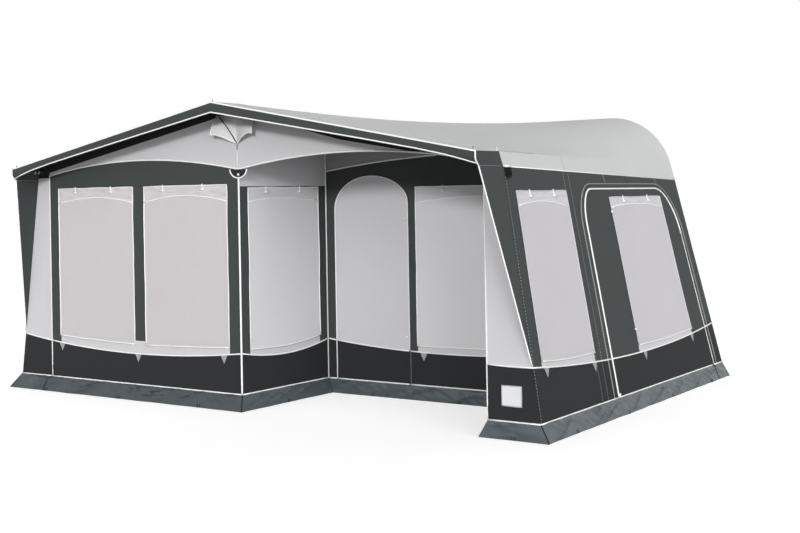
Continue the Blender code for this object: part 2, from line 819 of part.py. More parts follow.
def make_roof_poles(steel, plastic):
    """Ridge and side roof poles, each ending in a socketed plate fixed to the caravan."""
    face = wall_y - plate_thickness
    mouth = face - socket_depth
    bore = pole_radius + gap
    outer = bore + socket_wall
    plate = [(0, wall_y), (plate_radius, wall_y), (plate_radius, face), (outer, face), (outer, mouth),
             (bore, mouth), (bore, face), (0, face)]
    for name, (start, end) in (("ridge", ridge_line()), ("left_roof", side_pole_line(-1)),
                               ("right_roof", side_pole_line(1))):
        bm = bmesh.new()
        add_trimmed_pole(bm, start, end, 1, head_y + head_radius + gap, face - gap)
        add(name + "_pole", bm, steel, smooth=True)
        bm = bmesh.new()
        add_turned(bm, start, end, 1, plate)
        add(name + "_wall_plate", bm, plastic, smooth=True)


def add_trimmed_pole(bm, start, end, along, first, last, radius=pole_radius):
    """A pole on the line from start to end, kept only between two places on the main axis."""
    shares = [(place - start[along]) / (end[along] - start[along]) for place in (first, last)]
    add_pole(bm, between(start, end, shares[0]), between(start, end, shares[1]), along, radius)


def make_rails(material):
    """Sloping rails under the gable, and the one over the set-back wall."""
    peak, left, right = head_places()[:3]
    inner, outer = porch_heads()
    for name, start, end in (("left_front_rail", peak, left), ("right_front_rail", peak, right),
                             ("inset_rail", inner, outer)):
        way = 1 if end.x > start.x else -1
        first, last = start.x + way * (head_radius + gap), end.x - way * (head_radius + rail_end_gap)
        bm = bmesh.new()
        add_trimmed_pole(bm, start, end, 0, first, last)
        add(name, bm, material, smooth=True)


def make_canopy_frame(material):
    """Canopy frame: three spiked heads joined by two rails, each carried on an arm from a front head."""
    heads = head_places()
    parts = []
    for x, y, z in heads[3:]:
        low, high = z - head_height / 2, z + head_height / 2
        bm = bmesh.new()
        add_turned(bm, (x, y, 0), (x, y, z), 2,
                   [(0, low), (canopy_head_radius, low), (canopy_head_radius, high), (spike_radius, high),
                    (spike_radius, high + spike_height), (0, high + spike_height)])
        parts.append(bm)
    for start, end in zip(heads[:3], heads[3:]):
        bm = bmesh.new()
        add_trimmed_pole(bm, start, end, 1, start.y - head_radius - gap, end.y, arm_radius)
        parts.append(bm)
    for corner in heads[4:]:
        bm = bmesh.new()
        add_trimmed_pole(bm, heads[3], corner, 0, heads[3].x, corner.x, arm_radius)
        parts.append(bm)
    frame = add("canopy_frame", parts[0], material)
    for i, part in enumerate(parts[1:]):
        change_with(frame, "canopy_frame_join_" + str(i), part, "UNION")


def legs():
    """Each leg as (name, head middle, foot on the ground, way its lever faces, has a roof spike)."""
    peak, left, right = head_places()[:3]
    inner, outer = porch_heads()
    corner_x = front_foot_half - corner_foot_inset
    porch_x = side_half(porch_y, hem_z) - porch_foot_inset
    return (
        ("left_corner", left, Vector((-corner_x, head_y, 0)), Vector((1, 0, 0)), True),
        ("centre", peak, Vector((peak.x, head_y, 0)), Vector((-1, 0, 0)), True),
        ("right_corner", right, Vector((corner_x, head_y, 0)), Vector((-1, 0, 0)), True),
        ("inner_corner", inner, Vector((inner.x, porch_y, 0)), Vector((0, 1, 0)), False),
        ("porch", outer, Vector((porch_x, porch_y, 0)), Vector((-1, 0, 0)), False),
    )


def make_legs(steel, plastic):
    """Telescopic legs: an upper tube with its head and clamp, a sliding lower leg and a flip lever."""
    bore = tube_radius - tube_wall
    base = clamp_z - collar_lip
    for name, head, foot, facing, is_spiked in legs():
        low, high = head.z - head_height / 2, head.z + head_height / 2
        profile = [(0, low - spigot_length), (bore, low - spigot_length), (bore, base), (collar_radius, base),
                   (collar_radius, base + collar_height), (tube_radius, base + collar_height),
                   (tube_radius, low), (head_radius, low), (head_radius, high)]
        if is_spiked:
            profile += [(spike_radius, high), (spike_radius, high + spike_height), (0, high + spike_height)]
        else:
            profile.append((0, high))
        bm = bmesh.new()
        add_turned(bm, foot, head, 2, profile)
        upper = add(name + "_upper_leg", bm, steel, smooth=True)

        bm = bmesh.new()
        top = clamp_z + leg_overlap
        neck = foot_height + foot_neck
        profile = [(0, 0), (foot_radius, 0), (foot_radius, foot_height)]
        profile += [(inner_radius, neck), (inner_radius, top), (0, top)]
        add_turned(bm, foot, head, 2, profile)
        add(name + "_lower_leg", bm, steel, origin=foot, smooth=True)

        pin_z = base + collar_height / 2
        hinge = between(foot, head, pin_z / head.z) + facing * (ear_reach - lever_hub_radius - edge_gap)
        add_clamp(name, upper, hinge, facing, plastic)


def add_clamp(name, upper, hinge, facing, material):
    """Two bored ears fused to the upper leg, and the flip lever that turns on its own pin between them."""
    side = Vector((-facing.y, facing.x, 0))
    embedded = between(tube_radius, collar_radius, 1 / 2)
    pin_out = ear_reach - lever_hub_radius - edge_gap

    def place(x, z, across):
        return hinge + facing * x + Vector((0, 0, z)) + side * across

    half = collar_height / 4
    ear = rectangle(embedded - pin_out, ear_reach - pin_out, -half, half)
    for end, (first, last) in zip("ab", ((-ear_slot / 2 - ear_thickness, -ear_slot / 2),
                                         (ear_slot / 2, ear_slot / 2 + ear_thickness))):
        bm = bmesh.new()
        add_sheet(bm, ear, place, last, first, holes=[circle(0, 0, pin_radius + gap)])
        change_with(upper, name + "_ear_" + end, bm, "UNION")

    turns = [between(0, pi, i / round_steps) for i in range(round_steps + 1)]
    outline = [(lever_hub_radius * cos(a), lever_hub_radius * sin(a)) for a in turns]
    back = lever_hub_radius - lever_thickness
    outline += [(-lever_hub_radius, -lever_hub_radius), (back, -2 * lever_hub_radius), (back, -lever_length),
                (lever_hub_radius, -lever_length)]
    half_width = ear_slot / 2 - gap
    bm = bmesh.new()
    add_sheet(bm, outline, place, half_width, -half_width)
    lever = add(name + "_clamp_lever", bm, material, origin=hinge)
    pin = bmesh.new()
    reach = side * (ear_slot / 2 + ear_thickness)
    add_pole(pin, hinge - reach, hinge + reach, 1 if facing.x else 0, pin_radius)
    change_with(lever, name + "_lever_pin", pin, "UNION")


def make_zip_sliders(material):
    """Zip sliders on the two corner zips of the front."""
    for name, sign in (("left_zip_slider", -1), ("right_zip_slider", 1)):
        middle = sign * (zip_half + (slider_width / 2 if sign > 0 else 0))
        outline = rectangle(middle - slider_width / 2, middle + slider_width / 2, slider_z,
                            slider_z + slider_height)
        bm = bmesh.new()
        add_sheet(bm, outline, on_front, gap + slider_thickness, gap)
        add(name, bm, material, origin=(middle, front_y - gap, slider_z))


def build():
    """Clear the scene and make every piece."""
    for old in list(bpy.data.objects):
        bpy.data.objects.remove(old)

    dark = finish("dark grey cloth", (0.067, 0.076, 0.076), 0.8)
    light = finish("light grey cloth", (0.58, 0.565, 0.585), 0.8)
    roof_cloth = finish("roof cloth", (0.52, 0.53, 0.53), 0.7)
    cover = finish("window cover cloth", (0.60, 0.565, 0.575), 0.75)
    skirt = finish("mud wall film", (0.115, 0.14, 0.15), 0.5)
    mesh_cloth = finish("vent mesh", (0.1, 0.1, 0.1), 0.8)
    white = finish("white trim", (0.79, 0.79, 0.8), 0.5)
    steel = finish("galvanised tube", (0.55, 0.56, 0.57), 0.35, metallic=1.0)
    plastic = finish("black moulding", (0.03, 0.03, 0.03), 0.45)

    make_roof(roof_cloth)
    make_canopy_band(dark)
    make_gable(light, mesh_cloth)
    make_vent_hood(light)
    make_front_panels(dark, light)
    make_return_panel(light)
    make_inset_wall(dark, light)
    make_side_walls(dark)
    make_covers(cover, white)
    make_side_wings(dark)
    make_mud_walls(skirt)
    make_rail_bead(white)
    make_roof_poles(steel, plastic)
    make_rails(steel)
    make_canopy_frame(steel)
    make_legs(steel, plastic)
    make_zip_sliders(steel)


build()
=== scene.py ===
"""Looks of the caravan awning: cloth, piping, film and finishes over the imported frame."""

import json
from math import atan2, ceil, cos, hypot, pi, radians, sin, sqrt

import bmesh
import bpy
from mathutils import Matrix, Vector, noise
from mathutils.geometry import delaunay_2d_cdt


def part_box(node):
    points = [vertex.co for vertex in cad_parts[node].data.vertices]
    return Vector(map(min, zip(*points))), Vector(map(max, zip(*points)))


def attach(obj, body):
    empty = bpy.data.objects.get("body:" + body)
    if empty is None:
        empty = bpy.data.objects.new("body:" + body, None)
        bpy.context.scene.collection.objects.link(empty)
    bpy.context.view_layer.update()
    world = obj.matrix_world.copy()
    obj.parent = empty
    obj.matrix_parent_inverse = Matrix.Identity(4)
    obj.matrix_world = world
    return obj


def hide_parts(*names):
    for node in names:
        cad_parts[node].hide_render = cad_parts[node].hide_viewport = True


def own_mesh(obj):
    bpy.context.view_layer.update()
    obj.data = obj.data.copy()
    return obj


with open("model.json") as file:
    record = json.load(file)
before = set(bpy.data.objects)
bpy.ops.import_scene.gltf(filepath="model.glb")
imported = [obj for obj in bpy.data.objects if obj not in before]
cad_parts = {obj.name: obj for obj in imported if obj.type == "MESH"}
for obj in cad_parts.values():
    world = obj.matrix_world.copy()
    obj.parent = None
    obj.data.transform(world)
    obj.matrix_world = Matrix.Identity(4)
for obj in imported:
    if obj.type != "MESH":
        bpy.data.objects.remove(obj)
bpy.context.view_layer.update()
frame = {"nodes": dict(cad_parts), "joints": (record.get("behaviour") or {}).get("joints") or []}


# Camera: at eye height off the right front corner, where the photograph's straight edges place it.
# The horizon lies above the picture's middle, and the picture leans by about a degree.
camera_place = Vector((6.594, -8.861, 1.61))
camera_turn, camera_roll = radians(35.07), radians(-0.97)
picture_width, focal_pixels, middle_below_horizon, sensor_width = 800, 1276.5, 69.8, 36
camera_data = bpy.data.cameras.new("camera")
camera_data.sensor_width = sensor_width
camera_data.lens = sensor_width * focal_pixels / picture_width
camera_data.shift_y = -middle_below_horizon / picture_width
camera = bpy.data.objects.new("camera", camera_data)
camera.matrix_world = (Matrix.Translation(camera_place) @ Matrix.Rotation(camera_turn, 4, "Z")
                       @ Matrix.Rotation(pi / 2, 4, "X") @ Matrix.Rotation(camera_roll, 4, "Z"))
bpy.context.collection.objects.link(camera)
bpy.context.scene.camera = camera


# Floor and light: a pale floor, an even white surround, a low lamp in front, a broader one from the
# right and one from behind. The camera sees the surround as white and the floor a little lifted.
floor_half, floor_cells, floor_z, floor_lift = 30.0, 8, -0.002, 0.62
floor_grey, floor_shade = (0.55, 0.55, 0.55), (0.52, 0.52, 0.52)
floor_mottle, floor_roughness = 0.6, 0.9
surround_light, plain_white = 0.34, (1, 1, 1, 1)
lamps = (("front_lamp", Vector((0.42, -1.0, 0.25)), 1.70, radians(7)),
         ("side_lamp", Vector((1.0, -0.58, 0.34)), 2.20, radians(45)),
         ("back_lamp", Vector((-0.8, 1.0, 0.14)), 1.50, radians(40)))
mottle_detail, mottle_bump = 5.0, 0.5
streak_turn = (radians(55), radians(55), 0)


def add_node(tree, kind, inputs=None, operation=None, blend_type=None):
    """A node whose inputs are joined to other nodes' outputs or given constants."""
    node = tree.nodes.new(kind)
    if operation:
        node.operation = operation
    if blend_type:
        node.data_type = "RGBA"
        node.blend_type = blend_type
    for socket, value in (inputs or {}).items():
        if isinstance(value, bpy.types.NodeSocket):
            tree.links.new(value, node.inputs[socket])
        else:
            node.inputs[socket].default_value = value
    return node


def calculate(tree, operation, *values):
    """The output of a sum worked out from outputs or constants."""
    return add_node(tree, "ShaderNodeMath", dict(enumerate(values)), operation).outputs[0]


def set_shader(material, socket, value):
    """Join one of the shader's inputs to an output, or give it a constant."""
    tree = material.node_tree
    target = tree.nodes["Principled BSDF"].inputs[socket]
    if isinstance(value, bpy.types.NodeSocket):
        tree.links.new(value, target)
    else:
        target.default_value = value


def add_bump(material, height, strength, distance):
    bump = add_node(material.node_tree, "ShaderNodeBump",
                    {"Strength": strength, "Distance": distance, "Height": height})
    set_shader(material, "Normal", bump.outputs["Normal"])


def mottled(slot, colour, other, scale, roughness, relief=0.0, stretch=None):
    """A plain surface whose colour wanders between two values, with a little relief.

    A stretch turns the wandering into slanting streaks.
    """
    material = bpy.data.materials.new(slot + "_finish")
    material["slot"] = slot
    material.use_nodes = True
    set_shader(material, "Roughness", roughness)
    tree = material.node_tree
    spot = add_node(tree, "ShaderNodeTexCoord").outputs["Object"]
    if stretch:
        turned = {"Vector": spot, "Rotation": streak_turn, "Scale": stretch}
        spot = add_node(tree, "ShaderNodeMapping", turned).outputs["Vector"]
    cloud = add_node(tree, "ShaderNodeTexNoise", {"Vector": spot, "Scale": scale, "Detail": mottle_detail})
    colours = {"Factor": cloud.outputs["Fac"], "A": (*colour, 1), "B": (*other, 1)}
    blend = add_node(tree, "ShaderNodeMix", colours, blend_type="MIX")
    set_shader(material, "Base Color", blend.outputs["Result"])
    if relief:
        add_bump(material, cloud.outputs["Fac"], mottle_bump, relief)
    return material


def make_stage():
    bm = bmesh.new()
    bmesh.ops.create_grid(bm, x_segments=floor_cells, y_segments=floor_cells, size=floor_half)
    mesh = bpy.data.meshes.new("floor")
    bm.to_mesh(mesh)
    bm.free()
    material = mottled("floor", floor_grey, floor_shade, floor_mottle, floor_roughness)
    tree = material.node_tree
    path = add_node(tree, "ShaderNodeLightPath")
    lift = calculate(tree, "MULTIPLY", path.outputs["Is Camera Ray"], floor_lift)
    glow = add_node(tree, "ShaderNodeEmission", {"Strength": lift})
    lit = tree.nodes["Principled BSDF"].outputs[0]
    both = add_node(tree, "ShaderNodeAddShader", {0: lit, 1: glow.outputs[0]})
    tree.links.new(both.outputs[0], tree.nodes["Material Output"].inputs["Surface"])
    mesh.materials.append(material)
    floor = bpy.data.objects.new("floor", mesh)
    floor.location.z = floor_z
    bpy.context.collection.objects.link(floor)


def make_light():
    for name, source, strength, spread in lamps:
        data = bpy.data.lights.new(name, "SUN")
        data.energy = strength
        data.angle = spread
        lamp = bpy.data.objects.new(name, data)
        lamp.rotation_euler = source.to_track_quat("Z", "Y").to_euler()
        bpy.context.collection.objects.link(lamp)
    world = bpy.data.worlds.new("surround")
    bpy.context.scene.world = world
    world.use_nodes = True
    tree = world.node_tree
    light = tree.nodes["Background"]
    light.inputs["Strength"].default_value = surround_light
    light.inputs["Color"].default_value = plain_white
    white = add_node(tree, "ShaderNodeBackground", {"Color": plain_white})
    path = add_node(tree, "ShaderNodeLightPath")
    seen = path.outputs["Is Camera Ray"]
    for kind in ("Is Glossy Ray", "Is Transmission Ray"):
        seen = calculate(tree, "MAXIMUM", seen, path.outputs[kind])
    mix = add_node(tree, "ShaderNodeMixShader", {0: seen, 1: light.outputs[0], 2: white.outputs[0]})
    tree.links.new(mix.outputs[0], tree.nodes["World Output"].inputs["Surface"])


make_stage()
make_light()
bpy.context.scene.view_settings.view_transform = "Standard"


# Roof: one sheet of coated cloth from the canopy's front over the poles to the bead in the rear rail.
# Its section turns from a plain gable at the front into a flat top with round corners at the rail.
front_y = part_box("front_left_panel")[0][1]
canopy_y, rear_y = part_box("roof")[0][1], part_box("roof")[1][1]
ridge_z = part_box("roof")[1][2]
hem_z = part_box("front_left_panel")[0][2]
front_pole, front_eave = Vector((2.30, 1.90)), Vector((2.33, 1.80))
rear_eave, rear_foot_half = Vector((2.05, 1.72)), 2.46
front_foot_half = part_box("right_side_panel")[1][0]
rail_z, rail_corner, roof_sag = 2.30, 0.60, 0.025
flat_steps, corner_steps, drop_steps = 12, 14, 3
pole_steps = flat_steps + corner_steps
eave_steps = pole_steps + drop_steps
canopy_rows, roof_rows = 4, 30
cloth_thickness = 0.0015
fade_scale, fleck_scale, fleck_detail, fleck_shade = 1.6, 140, 3, (0.82, 0.82, 0.82, 1)
weave_bump, cloth_shine, roof_shine = 0.6, 0.25, 0.06
sharp_angle = pi / 4


def woven(slot, colour, faded, threads=((1, 1, 0), (0, 0, 1)), pitch=0.003, roughness=0.85, relief=0.0003):
    """Cloth with a plain weave, a soft wandering of its colour and fine flecks."""
    material = mottled(slot, colour, faded, fade_scale, roughness)
    set_shader(material, "Specular IOR Level", cloth_shine)
    tree = material.node_tree
    spot, cloud = tree.nodes["Texture Coordinate"].outputs["Object"], tree.nodes["Mix"].outputs["Result"]
    waves = []
    for direction in threads:
        across = add_node(tree, "ShaderNodeVectorMath", {0: spot, 1: direction}, "DOT_PRODUCT")
        turns = calculate(tree, "MULTIPLY", across.outputs["Value"], 2 * pi / pitch)
        waves.append(calculate(tree, "SINE", turns))
    add_bump(material, calculate(tree, "MULTIPLY", *waves), weave_bump, relief)
    flecks = {"Vector": spot, "Scale": fleck_scale, "Detail": fleck_detail}
    fleck = add_node(tree, "ShaderNodeTexNoise", flecks).outputs["Fac"]
    shade = add_node(tree, "ShaderNodeMix", {"Factor": fleck, "A": cloud, "B": fleck_shade}, None, "MULTIPLY")
    set_shader(material, "Base Color", shade.outputs["Result"])
    return material


def build(name, bm, material, body="tent", thickness=0.0):
    """Put a finished mesh in the scene as a smooth piece that rides on a body."""
    for edge in bm.edges:
        if edge.is_boundary or (edge.is_manifold and edge.calc_face_angle(0) > sharp_angle):
            edge.smooth = False
    for face in bm.faces:
        face.smooth = True
    mesh = bpy.data.meshes.new(name)
    bm.to_mesh(mesh)
    bm.free()
    mesh.materials.append(material)
    piece = bpy.data.objects.new(name, mesh)
    bpy.context.collection.objects.link(piece)
    if thickness:
        shell = piece.modifiers.new("thickness", "SOLIDIFY")
        shell.thickness = thickness
    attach(piece, body)
    return piece


def finish_sheet(name, bm, material, body, area):
    bmesh.ops.delete(bm, geom=[v for v in bm.verts if not v.link_faces], context="VERTS")
    piece = build(name, bm, material, body, cloth_thickness)
    return piece


def lay_grid(name, rows, columns, point, material, body="tent", skipped=()):
    """A sheet of cloth over a grid of points."""
    bm = bmesh.new()
    lines = [[point(i, j) for i in range(columns + 1)] for j in range(rows + 1)]
    verts = [[bm.verts.new(spot) for spot in line] for line in lines]
    for j in range(rows):
        for i in range(columns):
            if (i, j) not in skipped:
                bm.faces.new((verts[j][i], verts[j][i + 1], verts[j + 1][i + 1], verts[j + 1][i]))
    flat = [max(length_of(line) for line in way) for way in (lines, zip(*lines))]
    return finish_sheet(name, bm, material, body, sum(face.calc_area() for face in bm.faces))


def pairs(line):
    """Each point of a line with the next one."""
    return zip(line, line[1:])


def length_of(line):
    return sum((b - a).length for a, b in pairs(line))


def between(start, end, share):
    return start + (end - start) * share


def clamp(share):
    return min(max(share, 0), 1)


def depth_share(y):
    """How far y lies behind the front wall, as a share of the way to the rail."""
    return (y - front_y) / (rear_y - front_y)


rear_slope = (rear_foot_half - rear_eave.x) / (rear_eave.y - hem_z)
rear_lean = atan2(rear_foot_half - rear_eave.x, rear_eave.y - hem_z)
corner_z = rail_z - rail_corner * (1 - sin(rear_lean))
corner_x = rear_eave.x - rear_slope * (corner_z - rear_eave.y)
flat_x = corner_x - rail_corner * cos(rear_lean)


def roof_half(y, steps):
    """A point on the roof's right half at y, some steps out from the ridge towards the eave."""
    back = clamp(depth_share(y))
    bend = clamp((steps - flat_steps) / corner_steps)
    if steps > pole_steps:
        down = (steps - pole_steps) / drop_steps
        point = between(between(front_pole, front_eave, down),
                        between(Vector((corner_x, corner_z)), rear_eave, down), back)
        return Vector((point.x, y, point.y))
    if steps <= flat_steps:
        out = flat_x / corner_x * steps / flat_steps
        rear = Vector((flat_x * steps / flat_steps, rail_z))
    else:
        out = between(flat_x / corner_x, 1, bend)
        turn = (pi / 2 - rear_lean) * bend
        rear = Vector((flat_x + rail_corner * sin(turn), rail_z - rail_corner * (1 - cos(turn))))
    front = Vector((front_pole.x * out, between(ridge_z, front_pole.y, out)))
    point = between(front, rear, back)
    return Vector((point.x, y, point.y - roof_sag * 4 * back * (1 - back) * (1 - bend)))


def roof_at(y, steps, lift=0.0):
    """A point over the roof at y, some steps to the right of the ridge, or to the left if negative."""
    point = roof_half(y, abs(steps)) + Vector((0, 0, lift))
    if steps < 0:
        point.x = -point.x
    return point


roof_stops = [between(canopy_y, front_y, j / canopy_rows) for j in range(canopy_rows)]
roof_stops += [between(front_y, rear_y, j / roof_rows) for j in range(roof_rows + 1)]
roof_cloth = woven("roof_cloth", (0.62, 0.63, 0.625), (0.58, 0.59, 0.59), ((1, 0, 0.2), (0, 1, 0)),
                   roughness=0.8)
set_shader(roof_cloth, "Specular IOR Level", roof_shine)
canopy_drops = [(i, j) for j in range(canopy_rows) for k in range(drop_steps)
                for i in (k, 2 * eave_steps - 1 - k)]
roof = lay_grid("roof_sheet", len(roof_stops) - 1, 2 * eave_steps,
                lambda i, j: roof_at(roof_stops[j], i - eave_steps), roof_cloth, skipped=canopy_drops)
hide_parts("roof")


# Piping: white cord sewn in every main seam, here along the roof's front edge, eaves and seams.
# Fine seams of the roof's own cloth cross it over the side poles, and darker cords running back from their
# ends are painted shade of creases.
piping_radius, front_piping_radius, eave_radius, cord_facets = 0.0055, 0.007, 0.0035, 8
front_piping_inset, front_piping_drop = 0.002, 0.005
seam_back, seam_lift, seam_radius, front_seam_radius = 1.02, 0.0015, 0.0022, 0.0016
crease_reach, crease_stops, crease_lift = 0.52, 6, 0.001
piping_white = woven("trim", (0.97, 0.97, 0.97), (0.92, 0.92, 0.92), pitch=0.0015, roughness=0.6)


def turns_of(count):
    """Angles of equal steps round a full turn."""
    return [2 * pi * k / count for k in range(count)]


def add_ring(bm, centre, way, side, radius, count):
    """A ring of vertices across a way, the first of them towards a side."""
    up = way.cross(side)
    return [bm.verts.new(centre + (side * cos(a) + up * sin(a)) * radius) for a in turns_of(count)]


def add_tube(bm, points, radius, facets=cord_facets):
    """A round cord along a line of points, with flat ends."""
    rings, side = [], None
    for i, point in enumerate(points):
        way = (points[min(i + 1, len(points) - 1)] - points[max(i - 1, 0)]).normalized()
        side = way.orthogonal() if side is None else side - way * side.dot(way)
        side.normalize()
        rings.append(add_ring(bm, point, way, side, radius, facets))
    for low, high in pairs(rings):
        for k in range(facets):
            n = (k + 1) % facets
            bm.faces.new((low[k], low[n], high[n], high[k]))
    bm.faces.new(rings[0][::-1])
    bm.faces.new(rings[-1])


def pipe(name, lines, radius=piping_radius, material=piping_white, body="tent", facets=cord_facets):
    """One piece made of round cords along several lines."""
    bm = bmesh.new()
    for line in lines:
        add_tube(bm, line, radius, facets)
    return build(name, bm, material, body)


def over_roof(y, first, last, lift=seam_lift):
    """Points over the roof at y between two steps counted from the ridge."""
    return [roof_at(y, steps, lift) for steps in range(first, last + 1)]


front_edge = over_roof(canopy_y + front_piping_inset, -pole_steps, pole_steps, -front_piping_drop)
pipe("roof_front_piping", [front_edge], front_piping_radius)
eave_ends = [[roof_at(y, steps) for y in (front_y, rear_y)] for steps in (eave_steps, -eave_steps)]
pipe("eave_piping", eave_ends, eave_radius)
seam_and_crease_shade_cloth = woven("roof_cloth", (0.40, 0.41, 0.405), (0.36, 0.37, 0.37), pitch=0.002)
# The darker cords along the creases are painted shade of the creases.
creases = [[roof_at(front_y + crease_reach * k / crease_stops, steps, crease_lift)
            for k in range(crease_stops + 1)] for steps in (pole_steps, -pole_steps)]
eave_seams = [over_roof(front_y + seam_back, first, first + drop_steps)
              for first in (-eave_steps, pole_steps)]
pipe("roof_seams", eave_seams + creases, seam_radius, seam_and_crease_shade_cloth)
pipe("roof_front_seam", [over_roof(front_y, -pole_steps, pole_steps)], front_seam_radius, roof_cloth)


# Canopy band: dark cloth under the roof's front edge, with a return down each side of the canopy.
# Its lower edge is piped, bowed between the ridge and the corners, and leans a little back there.
both_sides = (("left", -1), ("right", 1))
band_drops = ((0, 0.078), (0.3, 0.070), (0.6, 0.062), (0.8, 0.059), (0.9, 0.064), (0.96, 0.074),
              (1, 0.083))
band_lean, lean_growth, lean_spread, upright_drop = 3.8, 1.5, 4, 0.05
band_columns, band_rows, edge_gap = 92, 8, 0.002
canopy_face_y, return_corner_z = canopy_y - edge_gap, 1.803
return_step, corner_step, return_seam_radius = 0.015, 0.01, 0.0018
dark_cloth = woven("dark_cloth", (0.054, 0.061, 0.060), (0.048, 0.054, 0.053))
seam_grey = woven("dark_cloth", (0.24, 0.25, 0.25), (0.20, 0.21, 0.21))


def lean_back(drop):
    """How far the band's cloth lies behind its front at a drop below the roof's edge."""
    return band_lean * max(drop - upright_drop, 0) ** lean_growth


def on_canopy(x, z, out=0.0):
    lean = lean_back(roof_line(x) - z) * (x / front_pole.x) ** lean_spread
    return Vector((x, canopy_face_y - out + lean, z))


def across_at(y, sign=1):
    """Places on an upright wall across the awning at y. A sign of -1 mirrors them to the left."""
    def place(x, z, out=0.0):
        return Vector((sign * x, y - out, z))
    return place


on_front = across_at(front_y)


def drop_half(z):
    """Half-width of the canopy's side at a height."""
    return between(front_pole.x, front_eave.x, (front_pole.y - z) / (front_pole.y - front_eave.y))


def on_drop(sign):
    """Places on the canopy's side, upright at the front and leaning out at the front wall."""
    def place(y, z, out=0.0):
        back = clamp((y - canopy_y) / (front_y - canopy_y))
        lean = lean_back(front_pole.y - z) * (1 - back)
        return Vector((sign * (between(front_pole.x, drop_half(z), back) + out), y + lean, z))
    return place


def roof_line(x):
    """Height of the roof over the front wall."""
    return ridge_z - (ridge_z - front_pole.y) * abs(x) / front_pole.x


def closed(loop):
    return loop + loop[:1]


def apart(a, b):
    """Distance between two flat points."""
    return hypot(b[0] - a[0], b[1] - a[1])


def is_inside(point, loop):
    """Whether a flat point lies inside a closed loop."""
    inside = False
    for (x0, z0), (x1, z1) in pairs(closed(loop)):
        if (z0 > point[1]) != (z1 > point[1]):
            if point[0] < between(x0, x1, (point[1] - z0) / (z1 - z0)):
                inside = not inside
    return inside


def divided(line, step):
    """A flat line's points with its long stretches divided, up to but without its last point."""
    points = []
    for a, b in pairs(line):
        parts = max(round(apart(a, b) / step), 1)
        points += [(between(a[0], b[0], i / parts), between(a[1], b[1], i / parts)) for i in range(parts)]
    return points


def area_of(loop):
    return abs(sum(a[0] * b[1] - b[0] * a[1] for a, b in pairs(closed(loop)))) / 2


sliver_share, grid_clearance, strip_share = 0.002, 0.45, 0.5
inside_only, merge_distance = 1, 1e-6
lay_step, route_step = 0.07, 0.08


def cut_flat(outline, holes, step):
    """Points and triangles of a flat piece, with a grid of points inside so that it can curve."""
    def is_cloth(spot):
        return is_inside(spot, outline) and not any(is_inside(spot, hole) for hole in holes)

    points, edges = [], []
    for loop in [outline] + list(holes):
        loop = divided(closed(loop), step)
        first = len(points)
        points += loop
        edges += [(first + i, first + (i + 1) % len(loop)) for i in range(len(loop))]
    lows = [min(p[k] for p in outline) for k in (0, 1)]
    highs = [max(p[k] for p in outline) for k in (0, 1)]
    counts = [ceil((high - low) / step) for low, high in zip(lows, highs)]
    clear = step * grid_clearance
    for i in range(1, counts[0]):
        for j in range(1, counts[1]):
            x, z = between(lows[0], highs[0], i / counts[0]), between(lows[1], highs[1], j / counts[1])
            around = ((x - clear, z), (x + clear, z), (x, z - clear), (x, z + clear))
            if all(is_cloth(spot) for spot in around):
                points.append((x, z))
    points = [Vector(p) for p in points]
    verts, _, faces, *_ = delaunay_2d_cdt(points, edges, [], inside_only, merge_distance, False)
    kept = []
    for face in faces:
        corners = [verts[i] for i in face]
        middle = sum(corners, Vector((0, 0))) / len(face)
        if area_of(corners) > sliver_share * step ** 2 and is_cloth(middle):
            kept.append(face)
    return verts, kept


def lay(name, outline, place, material, body="tent", holes=(), out=0.0, step=lay_step):
    """A flat cut of cloth laid on a wall."""
    points, faces = cut_flat(outline, holes, step)
    bm = bmesh.new()
    verts = [bm.verts.new(place(p.x, p.y, out)) for p in points]
    for face in faces:
        bm.faces.new([verts[i] for i in face])
    flat = [max(p[k] for p in outline) - min(p[k] for p in outline) for k in (0, 1)]
    area = area_of(outline) - sum(area_of(hole) for hole in holes)
    if area < strip_share * flat[0] * flat[1]:
        flat = strip_size(outline, area)
    return finish_sheet(name, bm, material, body, area)


def strip_size(outline, area):
    """Length and width of the straight strip with a bent or slanting piece's area and girth."""
    girth = sum(apart(a, b) for a, b in pairs(closed(outline)))
    long = (girth / 2 + sqrt(max(girth ** 2 / 4 - 4 * area, 0))) / 2
    return long, area / long


def route(place, points, out=0.0, step=route_step):
    """A line drawn in a wall's plane, divided and laid on the wall."""
    return [place(*spot, out) for spot in divided(points, step) + [points[-1]]]


def pipe_wall(name, place, lines, out=0.0, radius=piping_radius, material=piping_white, body="tent",
              step=route_step, facets=cord_facets):
    """Round cords along lines drawn in a wall's plane."""
    return pipe(name, [route(place, line, out, step) for line in lines], radius, material, body, facets)


def band_point(i, j):
    """A point on the band, counted along from the left corner and down from the roof's edge."""
    x = between(-front_pole.x, front_pole.x, i / band_columns)
    share = abs(x) / front_pole.x
    for (low, low_drop), (high, high_drop) in pairs(band_drops):
        if low <= share <= high:
            drop = between(low_drop, high_drop, (share - low) / (high - low))
    return on_canopy(x, roof_line(x) - between(edge_gap, drop, j / band_rows))


